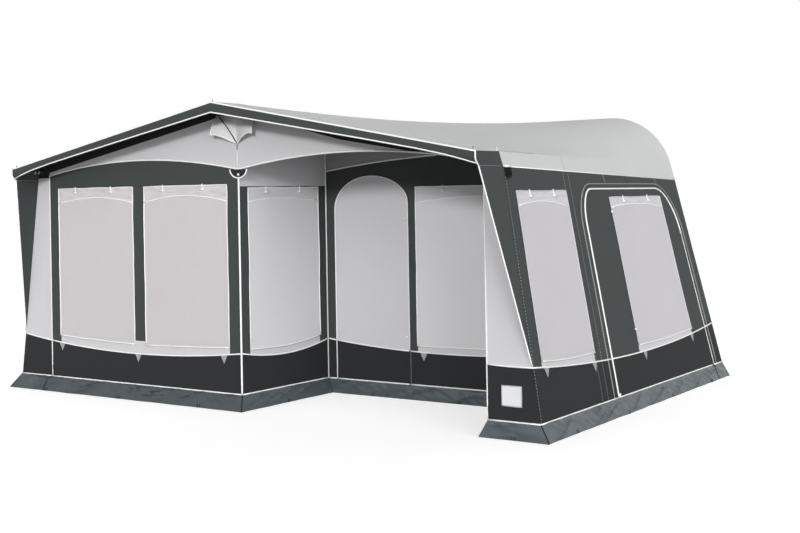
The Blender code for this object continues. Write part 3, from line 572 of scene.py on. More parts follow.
band_low = [(front_pole.x * share, roof_line(front_pole.x * share) - drop) for share, drop in band_drops]
band_low = [(-x, z) for x, z in band_low[:0:-1]] + band_low
band = lay_grid("canopy_band_front", band_rows, band_columns, band_point, dark_cloth)
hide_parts("canopy_band")
pipe_wall("canopy_piping", on_canopy, [band_low])
for side, sign in both_sides:
    low_edge = [(canopy_face_y, return_corner_z), (front_y, front_eave.y)]
    high_edge = [(front_y, front_pole.y - edge_gap), (canopy_face_y, front_pole.y - edge_gap)]
    lay(side + "_canopy_return", low_edge + high_edge, on_drop(sign), dark_cloth, step=return_step)
    pipe_wall(side + "_canopy_return_seams", on_drop(sign), (low_edge, high_edge), 0.0,
              return_seam_radius, seam_grey)
    pipe_wall(side + "_canopy_corner_piping", on_drop(sign), [[high_edge[1], low_edge[0]]], step=corner_step)


# Canopy shade sheet: a black sheet of thin cloth under the roof, between the band and the front wall, as
# painted shade for the canopy's dark underside.
# It follows the roof a few millimetres below it, and is held at both ends.
shade_sheet_rows, shade_sheet_drop, shade_sheet_margin = 3, 0.004, 0.006
# This black cloth is painted shade, here and at the stubs' tops and along the gable's top.
painted_shade_cloth = woven("charcoal_cloth", (0.020, 0.021, 0.022), (0.017, 0.018, 0.019))


def shade_sheet_point(i, j):
    y = between(canopy_y + shade_sheet_margin, front_y - shade_sheet_margin, j / shade_sheet_rows)
    return roof_at(y, i - pole_steps, -shade_sheet_drop)


lay_grid("canopy_shade_sheet", shade_sheet_rows, 2 * pole_steps, shade_sheet_point, painted_shade_cloth)


# Front wall: the two-window wall left of the centre post, cut in arches under the gable.
# Dark cloth, a light band under the windows, and charcoal cloth below a sagging piped seam.
# The windows are foil, held behind the cloth with a small overlap.
zip_half = -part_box("front_left_panel")[0][0]
arch_end_z, arch_rise = 1.84, 0.10
band_height, window_edge, window_foot_gap = 0.105, 0.03, 0.07
foil_overlap, foil_out, foil_step = 0.015, -cloth_thickness - 0.0005, 0.15
door_lift, seam_gap, seam_out = 0.003, 0.009, 0.001
wall_swell, swell_along, swell_up, hinge_calm = 0.006, 1.7, 1.1, 0.12
curve_step, circle_steps = 0.06, 16
light_cloth = woven("light_cloth", (0.63, 0.62, 0.635), (0.59, 0.58, 0.595))
charcoal_cloth = woven("charcoal_cloth", (0.023, 0.025, 0.026), (0.019, 0.021, 0.022))
window_foil = mottled("window_foil", (0.22, 0.23, 0.235), (0.17, 0.18, 0.185), 3.0, 0.12, 0.002)


def uneven(place, left, right, low, high, seed, most=wall_swell, hinge=None):
    """The wall's place function with the shallow swelling of real cloth, none at edges and hinge."""
    def on_wall(u, z, out=0.0):
        across, up = clamp((u - left) / (right - left)), clamp((z - low) / (high - low))
        held = sqrt(max(sin(pi * across) * sin(pi * up), 0))
        if hinge is not None:
            held *= min(abs(u - hinge) / hinge_calm, 1)
        swell = 0.5 + 0.5 * noise.noise(Vector((u * swell_along, z * swell_up, seed)))
        return place(u, z, out + most * held * swell)
    return on_wall


def sagging(start, end, sag):
    """Height along a line that hangs in a shallow curve between two (place, height) ends."""
    def height(u):
        share = (u - start[0]) / (end[0] - start[0])
        return between(start[1], end[1], share) - 4 * sag * share * (1 - share)
    return height


def curve(first, last, height, step=curve_step):
    """Points of a height function from one place to another."""
    steps = max(ceil(abs(last - first) / step), 1)
    places = [between(first, last, i / steps) for i in range(steps + 1)]
    return [(u, height(u)) for u in places]


def window(cover, across):
    """A cover's left, right, bottom and top in its wall's own plane."""
    low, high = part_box(cover)
    return low[across], high[across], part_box(cover + "_hem")[0][2], high[2]


def rectangle(left, right, bottom, top):
    return [(left, bottom), (right, bottom), (right, top), (left, top)]


def lower_edge(left, right, charcoal, bands):
    """Lower edge of the upper cloth: the sagging seam, raised over each light band."""
    points, start = [], left
    for band_left, band_right in bands:
        if left < band_left < right:
            points += curve(start, band_left, charcoal)
            points += curve(band_left, band_right, lambda u: charcoal(u) + band_height)
            start = band_right
    return points + curve(start, right, charcoal)


def sew_wall(name, place, left, right, top, charcoal, upper, body="tent", windows=(), bands=None,
             doorway=()):
    """A wall of upper cloth, light bands and charcoal cloth, with foil windows and piped seams.

    The top runs from right to left, and a doorway from its left foot over its top to its right foot.
    Each window has a light band of its own width below it, unless other bands are given.
    """
    bands = [w[:2] for w in windows] if bands is None else bands
    stretches = [(left, right)]
    if doorway:
        stretches = [(left, doorway[0][0]), (doorway[-1][0], right)]
    feet = [lower_edge(*stretch, charcoal, bands) for stretch in stretches]
    outline = feet[0] + doorway[1:-1] + feet[1] if doorway else feet[0]
    holes = [rectangle(w[0] + window_edge, w[1] - window_edge,
                       charcoal((w[0] + w[1]) / 2) + band_height + window_foot_gap, w[3] - window_edge)
             for w in windows]
    piece = lay(name + "_upper", outline + top, place, upper, body, holes)
    for i, hole in enumerate(holes):
        pane = rectangle(hole[0][0] - foil_overlap, hole[1][0] + foil_overlap,
                         hole[0][1] - foil_overlap, hole[2][1] + foil_overlap)
        lay(name + "_foil_" + str(i), pane, place, window_foil, body, out=foil_out, step=foil_step)
    for i, (band_left, band_right) in enumerate(bands):
        strip = curve(band_left, band_right, charcoal)
        strip += curve(band_right, band_left, lambda u: charcoal(u) + band_height)
        lay(name + "_light_band_" + str(i), strip, place, light_cloth, body)
    lines, is_door = [], body != "tent"
    foot_z = hem_z + (door_lift if is_door else 0)
    for i, (first, last) in enumerate(stretches):
        foot = [(first, foot_z), (last, foot_z)] + curve(last, first, charcoal)
        lay(name + "_charcoal_" + str(i), foot, place, charcoal_cloth, body)
        sewn_from = first + (seam_gap if is_door or i else 0)
        sewn_to = last - (seam_gap if is_door or i + 1 < len(stretches) else 0)
        lines += [curve(sewn_from, sewn_to, charcoal), [(sewn_from, hem_z), (sewn_to, hem_z)]]
    pipe_wall(name + "_seams", place, lines, seam_out, body=body)
    return piece


def gable_arch(x):
    """Height of the gable's scalloped lower edge: one arch each side of the middle."""
    half = zip_half / 2
    return arch_end_z + arch_rise * (1 - ((abs(x) - half) / half) ** 2)


def circle(x, z, radius, steps=circle_steps):
    return [(x + radius * cos(a), z + radius * sin(a)) for a in turns_of(steps)]


front_wall = uneven(on_front, -zip_half, 0, hem_z, arch_end_z, seed=3.0)
front_charcoal = sagging((-2.518, 0.470), (0, 0.433), 0.08)
outer_window, inner_window = window("front_outer_cover", 0), window("front_inner_cover", 0)
piece = sew_wall("front_left", front_wall, -zip_half, 0, curve(0, -zip_half, gable_arch), front_charcoal,
                 dark_cloth, windows=(outer_window, inner_window), bands=[(outer_window[0], inner_window[1])])
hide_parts("front_left_panel")


# Stubs: the narrow walls outside the corner zips, of light cloth over charcoal, with a black top that is
# painted shade.
# Each is sewn to its side wall along the corner, and has a hole for the canopy's side arm.
stub_arm_hole, stub_charcoal_end = (2.27, 1.872, 0.0135), 2.52
stub_charcoal = {-1: front_charcoal, 1: sagging((zip_half, 0.490), (stub_charcoal_end, 0.485), 0.004)}
stub_shade_z, stub_out, shade_gap, shade_out = 1.82, -0.002, 0.003, 0.002


def front_half(z):
    """Half-width of the front wall at a height, along the corner seam."""
    return between(front_foot_half, front_eave.x, (z - hem_z) / (front_eave.y - hem_z))


for side, sign in both_sides:
    stub, height = across_at(front_y, sign), stub_charcoal[sign]
    seam_end_z = height(sign * stub_charcoal_end)
    above = [(front_half(seam_end_z), seam_end_z), (front_eave.x, front_eave.y),
             (front_pole.x, front_pole.y - edge_gap), (zip_half, roof_line(zip_half) - edge_gap)]
    seam = curve(zip_half, front_half(seam_end_z), lambda u: height(sign * u))
    hole = circle(*stub_arm_hole)
    piece = lay(side + "_stub_upper", seam[:-1] + above, stub, light_cloth, holes=[hole], out=stub_out)
    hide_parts(side + "_stub_panel")
    # The black piece over each stub's top is painted shade under the canopy.
    head = [(zip_half, stub_shade_z), (drop_half(stub_shade_z), stub_shade_z),
            (front_pole.x, front_pole.y - shade_gap), (zip_half, roof_line(zip_half) - shade_gap)]
    lay(side + "_stub_top_shade", head, stub, painted_shade_cloth, holes=[hole], out=shade_out)
    hem = [(zip_half, hem_z), (front_foot_half, hem_z)]
    lay(side + "_stub_charcoal", hem + seam[::-1], stub, charcoal_cloth, out=stub_out)
    pipe_wall(side + "_stub_seams", stub, (seam, hem), seam_out)


# Sewn patch: a plain white piece of cloth with a grey hem, low down on the right stub.
# It is stitched flat on the charcoal cloth.
sewn_patch = rectangle(2.293, 2.443, 0.222, 0.357)
sewn_out, sewn_step, sewn_edge_out, sewn_edge_radius = 0.003, 0.05, 0.004, 0.0035
patch_white = woven("trim", (0.80, 0.80, 0.81), (0.74, 0.74, 0.75), pitch=0.002)
patch_hem_grey = woven("trim", (0.46, 0.46, 0.47), (0.40, 0.40, 0.41), pitch=0.002)
lay("right_stub_patch", sewn_patch, on_front, patch_white, out=sewn_out, step=sewn_step)
pipe_wall("right_stub_patch_edge", on_front, [closed(sewn_patch)], sewn_edge_out, sewn_edge_radius,
          patch_hem_grey)


# Front seams: white piping over the corner zips, along the arches and down the centre post.
# A dark tape covers each corner seam between the wing's tip and the eave.
zip_out, zip_radius = 0.002, 0.004
corner_y, corner_gap, corner_tape_radius, wing_tip_z = front_y - 0.001, 0.001, 0.004, 0.49
arch_out, arch_radius, centre_radius, centre_stop = 0.003, 0.0065, 0.0075, 0.06
zip_lines = [[(sign * zip_half, hem_z), (sign * zip_half, arch_end_z)] for _, sign in both_sides]
pipe_wall("corner_zip_pipings", on_front, zip_lines, zip_out, zip_radius)
for side, sign in both_sides:
    line = [Vector((sign * (front_half(z) + corner_gap), corner_y, z)) for z in (wing_tip_z, front_eave.y)]
    pipe(side + "_corner_tape", [line], corner_tape_radius, dark_cloth)
pipe_wall("front_arch_piping", on_front, [curve(-zip_half, zip_half, gable_arch)], arch_out, arch_radius)
pipe_wall("centre_piping", on_front, [[(0, hem_z), (0, arch_end_z - centre_stop)]], arch_out, centre_radius)


# Gable: light cloth between the roof and the arches, with black strips under the roof that are painted shadow
# of the canopy.
# A mesh vent is sewn in below the ridge, and a hole lets the canopy's middle arm through.
vent = rectangle(-0.14, 0.14, 2.14, 2.23)
arm_hole = (-0.0303, 2.3008, 0.0125)
shade_strip_height, shade_strip_bend, shade_strip_bend_height, shade_strip_end_height = 0.058, 0.45 * zip_half, 0.125, 0.100
gable_wall = uneven(on_front, -zip_half, zip_half, arch_end_z - arch_rise, ridge_z, seed=7.0, most=0.004)
gable_foot = curve(-zip_half, zip_half, gable_arch)[:-1] + [(zip_half, arch_end_z)]
gable_top = [(x, roof_line(x) - edge_gap) for x in (zip_half, 0, -zip_half)]
gable = lay("gable", gable_foot + gable_top, gable_wall, light_cloth, holes=[vent, circle(*arm_hole)])
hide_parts("gable_panel")
# The black strips along the gable's top, deeper on the right, are painted shadow of the canopy band.
strip_low = [(x, roof_line(x) - height) for x, height in (
    (-zip_half, shade_strip_height), (0, shade_strip_height), (shade_strip_bend, shade_strip_bend_height),
    (zip_half, shade_strip_end_height))]
for side, line in (("left", strip_low[:2]), ("right", strip_low[1:])):
    above = [(x, roof_line(x) - shade_gap) for x, _ in line[::-1]]
    lay("gable_" + side + "_shade_strip", line + above, gable_wall, painted_shade_cloth, out=shade_out)
net_black = woven("mesh", (0.03, 0.03, 0.03), (0.05, 0.05, 0.05), pitch=0.004, relief=0.001)
net = lay("vent_net", vent, on_front, net_black, out=-cloth_thickness)
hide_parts("vent_mesh")


# Centre patch: a dark half-round patch with piping and a white turned stud, where the arches meet.
# A thin tape is sewn on the gable from below the vent hood's tip down to the patch.
patch_half, patch_drop, patch_steps, stud_z = 0.085, 0.066, 14, 1.80
patch_out, patch_step, patch_piping_out, patch_piping_step = 0.004, 0.03, 0.006, 0.02
stud_profile, stud_steps = [(0, 0.014), (0.005, 0.013), (0.009, 0.010), (0.010, 0.006)], 14
tape_x, tape_top_z, tape_out, tape_radius = -0.01, 2.04, 0.0045, 0.0025
turns = [pi * i / patch_steps for i in range(patch_steps + 1)]
patch = [(patch_half * cos(a), arch_end_z - patch_drop * sin(a)) for a in turns]
lay("centre_patch", patch[::-1], on_front, charcoal_cloth, out=patch_out, step=patch_step)
pipe_wall("centre_patch_piping", on_front, [patch], patch_piping_out, step=patch_piping_step)


def turned_button(name, centre, way, profile, material, steps=stud_steps):
    """A round button turned from its crown down to its rim."""
    bm = bmesh.new()
    side = way.orthogonal().normalized()
    crown = bm.verts.new(centre + way * profile[0][1])
    rings = [add_ring(bm, centre + way * high, way, side, radius, steps) for radius, high in profile[1:]]
    for k in range(steps):
        n = (k + 1) % steps
        bm.faces.new((crown, rings[0][k], rings[0][n]))
        for high, low in pairs(rings):
            bm.faces.new((high[k], low[k], low[n], high[n]))
    bm.faces.new(rings[-1])
    bmesh.ops.recalc_face_normals(bm, faces=bm.faces)
    return build(name, bm, material)


turned_button("centre_patch_stud", on_front(0, stud_z), Vector((0, -1, 0)), stud_profile, piping_white)
pipe_wall("gable_tape", on_front, [[(tape_x, tape_top_z), (tape_x, arch_end_z)]], tape_out, tape_radius)


# Vent hood: stiffened light cloth hinged over the vent, spread at its corners and drawn in at the tip.
# Its rim is piped, a thin batten holds it open, and two eyelets sit on the gable below the tip.
hood_top_z, hood_corner_z, hood_tip_z, hood_gap = 2.255, 2.115, 2.035, 0.003
hood_top_half, hood_half, hood_reach, hood_shift = 0.192, 0.21, 0.08, 0.018
tip_growth, corner_droop, droop_growth, tip_draw, draw_growth = 1.6, 0.12, 6, 0.92, 2.2
pleats, pleat_depth = 5, 0.006
hood_rows, hood_columns = 12, 40
rim_radius, batten_radius, batten_gap = 0.006, 0.004, 0.005
batten_shares = ((-0.80, 0.10), (-0.52, 0.325), (-0.29, 0.55), (-0.13, 0.775), (0, 1.0))
eyelet_x, eyelet_zs = tape_x + 0.004, (2.018, 1.998)
eyelet_half, eyelet_out, eyelet_wire, eyelet_steps = 0.006, 0.006, 0.002, 12
hood_cloth = woven("light_cloth", (0.82, 0.81, 0.82), (0.74, 0.73, 0.74), roughness=0.7)


def hood_point(i, j):
    across, down = between(-1, 1, i / hood_columns), j / hood_rows
    middle = 1 - abs(across)
    fall = max(middle ** tip_growth, corner_droop * abs(across) ** droop_growth)
    reach = 1 - tip_draw * middle ** draw_growth
    x = between(hood_top_half, hood_half, down) * across - hood_shift * (1 - down)
    z = between(hood_top_z, between(hood_corner_z, hood_tip_z, fall), down)
    pleat = pleat_depth * (1 + cos(2 * pi * pleats * across)) / 2 * sin(pi * down) * min(reach * 2, 1)
    return on_front(x, z, hood_gap + hood_reach * reach * sin(pi / 2 * down) - pleat * down)


hood = lay_grid("vent_hood_cloth", hood_rows, hood_columns, hood_point, hood_cloth, "vent_flap")
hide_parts("vent_hood")
hood_rim = [hood_point(i, hood_rows) for i in range(hood_columns + 1)]
hood_sides = [[hood_point(i, j) for j in range(hood_rows + 1)] for i in (0, hood_columns)]
pipe("vent_hood_rim", [hood_rim] + hood_sides, rim_radius, body="vent_flap")
webbing = woven("strap", (0.012, 0.012, 0.013), (0.009, 0.009, 0.010), pitch=0.002)
hood_batten = [hood_point(hood_columns * (1 + across) / 2, hood_rows * down) + Vector((0, -batten_gap, 0))
               for across, down in batten_shares]
pipe("vent_hood_batten", [hood_batten], batten_radius, webbing, "vent_flap")
eyelets = [[on_front(x, z, eyelet_out) for x, z in circle(eyelet_x, eyelet_z, eyelet_half, eyelet_steps)]
           for eyelet_z in eyelet_zs]
pipe("gable_eyelets", eyelets, eyelet_wire, webbing)


# Return wall: runs back from the centre post to the inner corner, dark beside its window and light above.
# It is sewn to the front wall along the post and to the inset wall along a piped inner corner.
inset_y, return_front_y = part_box("inset_panel")[0][1], front_y + 0.004
light_above_z, ridge_gap = 1.71, 0.003
rail_hole = (-1.568, 2.2943, 0.0155)
inner_corner_top, inner_corner_gap = 2.28, 0.002
return_window = window("return_cover", 1)
return_charcoal = sagging((front_y, 0.434), (inset_y, 0.448), 0.058)


def on_return(y, z, out=0.0):
    return Vector((out, y, z))


return_wall = uneven(on_return, front_y, inset_y, hem_z, light_above_z, seed=11.0)
light_seam = [(inset_y, light_above_z), (return_front_y, light_above_z)]
piece = sew_wall("return", return_wall, return_front_y, inset_y, light_seam, return_charcoal, dark_cloth,
                 windows=[return_window])
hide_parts("return_panel")
return_top = curve(inset_y, return_front_y, lambda y: roof_half(y, 0).z - ridge_gap)
lay("return_top", light_seam[::-1] + return_top, on_return, light_cloth, holes=[circle(*rail_hole)])
inner_corner = [Vector((inner_corner_gap, inset_y - inner_corner_gap, z))
                for z in (hem_z, light_above_z, inner_corner_top)]
pipe("inner_corner_piping", [inner_corner])


# Inset wall: set back in the porch, with an arched light door, one window and a greyer light cloth above,
# whose grey is painted shade.
# The doorway is piped, and a flat seam and two short ties lie beside the door's hinge.
door_left, door_right, door_top, door_arch, door_arch_left = 0.095, 0.825, 1.782, 0.22, 0.27
free_edge_gap, hinge_edge_gap, same_place = 0.002, 0.001, 1e-6
inset_reach, inset_swell_top, inset_charcoal_end, side_gap = 2.4, 1.8, 2.44, 0.006
inset_eave_z, inset_top_right, inset_top_gap, inset_top_out = 1.76, 2.16, 0.004, -0.0005
inset_seam_out, doorway_radius, fine_steps, arch_steps = 0.003, 0.004, 4, 10
hinge_seam_u, hinge_seam_radius = door_right + 0.009, 0.0025
tie_zs, tie_near, tie_far, tie_rise, tie_out, tie_radius = (1.425, 0.487), 0.010, 0.038, 0.012, 0.008, 0.006
inset_window = window("inset_cover", 0)
inset_charcoal = sagging((0, 0.448), (2.46, 0.460), 0.075)
inset_seam = sagging((0, 1.828), (2.5, 1.885), -0.078)
# The light cloth above the door is given darker here as painted shade under the roof.
inset_top_painted_shade = woven("light_cloth", (0.34, 0.34, 0.35), (0.30, 0.30, 0.31))
on_inset = across_at(inset_y)


def round_top(left, right, bottom, top, left_corner, right_corner, steps=arch_steps):
    """A door outline from its bottom left over its rounded top corners to its bottom right."""
    points = [(left, bottom)]
    rising = [pi / 2 * i / steps for i in range(steps + 1)]
    falling = [pi / 2 * (1 - i / steps) for i in range(steps + 1)]
    for end, way, (wide, high), turns in ((left, 1, left_corner, rising), (right, -1, right_corner, falling)):
        points += [(end + way * wide * (1 - cos(a)), top - high * (1 - sin(a))) for a in turns]
    points.append((right, bottom))
    return points[:1] + [b for a, b in pairs(points) if apart(a, b) > same_place]


def side_half(y, z):
    """Half-width of the leaning side wall at one place."""
    rear = between(rear_foot_half, rear_eave.x, (z - hem_z) / (rear_eave.y - hem_z))
    return between(front_half(z), rear, depth_share(y))


inset_charcoal_right = side_half(inset_y, inset_charcoal(inset_charcoal_end)) - side_gap
inset_seam_right = side_half(inset_y, inset_eave_z) - side_gap


def inset_dark_edge(u):
    """Upper edge of the inset wall's dark cloth, which falls to the eave at its right end."""
    return min(inset_seam(u), inset_eave_z + (inset_seam_right - u))


def inset_roof(x):
    """Height of the roof over the inset wall."""
    steps = [k / fine_steps for k in range(pole_steps * fine_steps)]
    best = min(steps, key=lambda step: abs(roof_half(inset_y, step).x - x))
    return roof_half(inset_y, best).z - inset_top_gap


inset_wall = uneven(on_inset, 0, inset_reach, hem_z, inset_swell_top, seed=17.0, hinge=door_right)
door_half = (door_right - door_left) / 2
doorway = round_top(door_left, door_right, hem_z, door_top, (door_half, door_arch_left),
                    (door_half, door_arch))
piece = sew_wall("inset", inset_wall, 0, inset_charcoal_right, curve(inset_seam_right, 0, inset_dark_edge),
                 inset_charcoal, dark_cloth, windows=[inset_window], doorway=doorway)
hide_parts("inset_panel")
top_seam = curve(0, inset_top_right, inset_dark_edge)
lay("inset_top", top_seam + curve(inset_top_right, 0, inset_roof), on_inset, inset_top_painted_shade,
    out=inset_top_out)
pipe_wall("inset_top_seam", on_inset, [top_seam], inset_seam_out)
piece = sew_wall("porch_door", inset_wall, door_left + free_edge_gap, door_right - hinge_edge_gap,
                 doorway[-2:0:-1], inset_charcoal, light_cloth, "porch_door")
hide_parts("inset_door")
door_edge = doorway[:-1] + [(door_right, inset_charcoal(door_right))]
pipe_wall("porch_doorway_piping", inset_wall, [door_edge], seam_out, doorway_radius)
hinge_seam = [(hinge_seam_u, inset_charcoal(hinge_seam_u)), (hinge_seam_u, hem_z)]
pipe_wall("porch_door_hinge_seam", inset_wall, [hinge_seam], seam_out, hinge_seam_radius, seam_grey)
ties = [[(door_right - tie_far, z), (door_right - tie_near, z + tie_rise)] for z in tie_zs]
pipe_wall("porch_door_ties", inset_wall, ties, tie_out, tie_radius, body="porch_door")


# Side walls: dark cloth leaning out to the ground, the right one with a wide arched zip door.
# The doorway is piped, with a thin run beside the hinge. The door has a stop at its zip's foot and two
# short ties in front of its window's cover.
side_door_front, side_door_rear, side_door_top = front_y + 1.25, front_y + 3.28, 1.645
side_front_corner, side_rear_corner = (0.19, 0.26), (0.40, 0.40)
eave_gap, side_piping_out, side_piping_radius = 0.001, 0.002, 0.0065
rear_run_gap, rear_run_radius = 0.006, 0.0028
stop_low, stop_high, stop_out, stop_radius = (0, 0.004), (0.012, 0.028), 0.010, 0.008
cover_tie_zs, cover_tie_ends, cover_tie_out, cover_tie_radius = (1.47, 0.57), (-0.022, 0.008), 0.010, 0.007
cover_tie_fall = 0.012
side_charcoal = sagging((front_y, 0.485), (rear_y, 0.457), 0.082)


def eave_height(y):
    return between(front_eave.y, rear_eave.y, depth_share(y)) - eave_gap


def on_side(sign):
    """Places on a side wall, given by y and height."""
    def place(y, z, out=0.0):
        return Vector((sign * (side_half(y, z) + out), y, z))
    return place


right_wall = uneven(on_side(1), front_y, rear_y, hem_z, rear_eave.y, seed=23.0, hinge=side_door_rear)
left_wall = uneven(on_side(-1), front_y, rear_y, hem_z, rear_eave.y, seed=29.0)
side_doorway = round_top(side_door_front, side_door_rear, hem_z, side_door_top,
                         side_front_corner, side_rear_corner)
side_window, door_window = window("right_side_cover", 1), window("right_door_cover", 1)
left_window = window("left_side_cover", 1)
side_top = curve(rear_y, front_y, eave_height)
piece = sew_wall("right_side", right_wall, front_y, rear_y, side_top, side_charcoal, dark_cloth,
                 windows=[side_window], doorway=side_doorway)
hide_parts("right_side_panel")
piece = sew_wall("side_door", right_wall, side_door_front + free_edge_gap, side_door_rear - hinge_edge_gap,
                 side_doorway[-2:0:-1], side_charcoal, dark_cloth, "side_door", windows=[door_window])
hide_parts("right_side_door")
piece = sew_wall("left_side", left_wall, front_y, rear_y, side_top, side_charcoal, dark_cloth,
                 windows=[left_window])
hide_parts("left_side_panel")
pipe_wall("side_doorway_piping", right_wall, [side_doorway[:-1]], side_piping_out, side_piping_radius)
rear_run = [(y + rear_run_gap, z) for y, z in side_doorway[-2:]]
pipe_wall("side_doorway_rear_piping", right_wall, [rear_run], side_piping_out, rear_run_radius)
zip_stop = [(side_door_front + along, hem_z + up) for along, up in (stop_low, stop_high)]
pipe_wall("side_door_zip_stop", right_wall, [zip_stop], stop_out, stop_radius, body="side_door")
ties = [[(door_window[0] + cover_tie_ends[0], z), (door_window[0] + cover_tie_ends[1], z - cover_tie_fall)]
        for z in cover_tie_zs]
pipe_wall("side_door_cover_ties", right_wall, ties, cover_tie_out, cover_tie_radius, body="side_door")


# Stitching: rows of pale thread stitches along the flat seams of the side walls, their front corners and
# the right doorway's surround, which also has a welt and two short seams up to the eave.
stitch_pitch, stitch_length, stitch_radius = 0.022, 0.013, 0.0022
stitched_ys, stitch_margin, corner_inset = (front_y + 0.975, front_y + 1.07), 0.01, 0.012
welt_front, welt_rear, welt_top = 0.075, 0.065, 0.038
welt_radius, welt_stitch_out = 0.005, 0.006
short_seam_ys = (front_y + 1.75, front_y + 2.93)
short_seam_lean, short_seam_out, short_seam_radius = 0.03, 0.0005, 0.003
thread_grey = woven("trim", (0.55, 0.55, 0.55), (0.48, 0.48, 0.48), pitch=0.0015)


def stitch(name, lines):
    """Small pointed stitches laid along lines of points."""
    bm = bmesh.new()
    for line in lines:
        total = length_of(line)
        count, at, start = int(total / stitch_pitch), 0, 0.0
        for k in range(count):
            wanted = (k + 0.5) * total / count
            while at < len(line) - 2 and start + (line[at + 1] - line[at]).length < wanted:
                start += (line[at + 1] - line[at]).length
                at += 1
            way = (line[at + 1] - line[at]).normalized()
            middle = line[at] + way * (wanted - start)
            side = way.orthogonal().normalized() * stitch_radius
            up = way.cross(side)
            ends = [bm.verts.new(middle + way * s * stitch_length / 2) for s in (-1, 1)]
            ring = [bm.verts.new(middle + d) for d in (side, up, -side, -up)]
            for here, beyond in pairs(closed(ring)):
                bm.faces.new((ends[0], beyond, here))
                bm.faces.new((ends[1], here, beyond))
    return build(name, bm, thread_grey)


corner_line = [(front_y + corner_inset, z) for z in (hem_z, front_eave.y)]
side_lines = [route(on_side(1), corner_line, seam_out)]
for seam_y in stitched_ys:
    upright = [(seam_y, hem_z + stitch_margin), (seam_y, eave_height(seam_y) - stitch_margin)]
    side_lines.append(route(right_wall, upright, seam_out))
welt_line = round_top(side_door_front - welt_front, side_door_rear + welt_rear, hem_z,
                      side_door_top + welt_top,
                      (side_front_corner[0] + welt_front, side_front_corner[1] + welt_top),
                      (side_rear_corner[0] + welt_rear, side_rear_corner[1] + welt_top))
stitch("right_side_stitches", side_lines + [route(right_wall, welt_line, welt_stitch_out)])
stitch("left_side_stitches", [[Vector((-p.x, p.y, p.z)) for p in line] for line in side_lines])
pipe_wall("side_door_surround_welt", right_wall, [welt_line], seam_out, welt_radius, seam_grey)
short_seams = [[(y + short_seam_lean, side_door_top + welt_top), (y, eave_height(y))] for y in short_seam_ys]
pipe_wall("side_door_short_seams", right_wall, short_seams, short_seam_out, short_seam_radius, seam_grey)


# Wings: dark triangles from the canopy's ends down the corner seams, piped along the free front edge.
# Each hangs from the canopy's corner, and its sewn edge lies on the corner tape.
wing_piping_radius = 0.005


def on_wing(sign):
    """Places on a wing, which turns in from the corner seam to the canopy's corner."""
    corner = on_drop(1)(canopy_y, return_corner_z)

    def place(y, z, out=0.0):
        ahead = min((front_y - y) / (front_y - canopy_y), 1)
        turn = (corner.x - front_half(return_corner_z)) * ahead
        return Vector((sign * (front_half(z) + turn + out), y + (corner.y - canopy_y) * ahead, z))
    return place


for side, sign in both_sides:
    free_edge = [(canopy_face_y, return_corner_z - edge_gap), (corner_y, wing_tip_z)]
    wing = lay(side + "_wing_cloth", free_edge + [(corner_y, front_eave.y - edge_gap)], on_wing(sign),
               dark_cloth)
    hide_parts(side + "_wing")
    pipe_wall(side + "_wing_piping", on_wing(sign), [free_edge], radius=wing_piping_radius)


# Window covers: pale cloth blinds over the windows, each with a curved seam and fine bound edges.
# Their stiff hems ride on the roll joints' bodies. Small toggles hang over the top edge, and tabs hold the
# foot.
binding_radius, fine_facets, cover_out, hem_out, hem_height = 0.0042, 6, 0.0035, 0.0085, 0.02
foot_step, hem_step = 0.3, 0.05
edge_wander, edge_rows, ripple, ripple_columns, ripple_rows = 0.004, 7.0, 0.0025, 6.0, 2.5
toggle_shares, toggle_half, toggle_drop, toggle_out, toggle_radius = (0.24, 0.72), 0.016, 0.034, 0.008, 0.0075
loop_top, loop_foot, loop_out, toggle_loop_radius = 0.012, 0.03, 0.005, 0.004
streaks, streak_scale, head_roughness, head_relief = (1, 1, 6), 9.0, 0.8, 0.004
first_seed, seed_step = 5.0, 3.7


def cover_cloths(main, faded, head, streak, is_piped=True):
    """A cover's cloth, the streaked cloth above its seam, and its binding."""
    cloth = woven("cover_cloth", main, faded)
    streaked = mottled("cover_cloth", head, streak, streak_scale, head_roughness, head_relief, streaks)
    return cloth, streaked, piping_white if is_piped else cloth


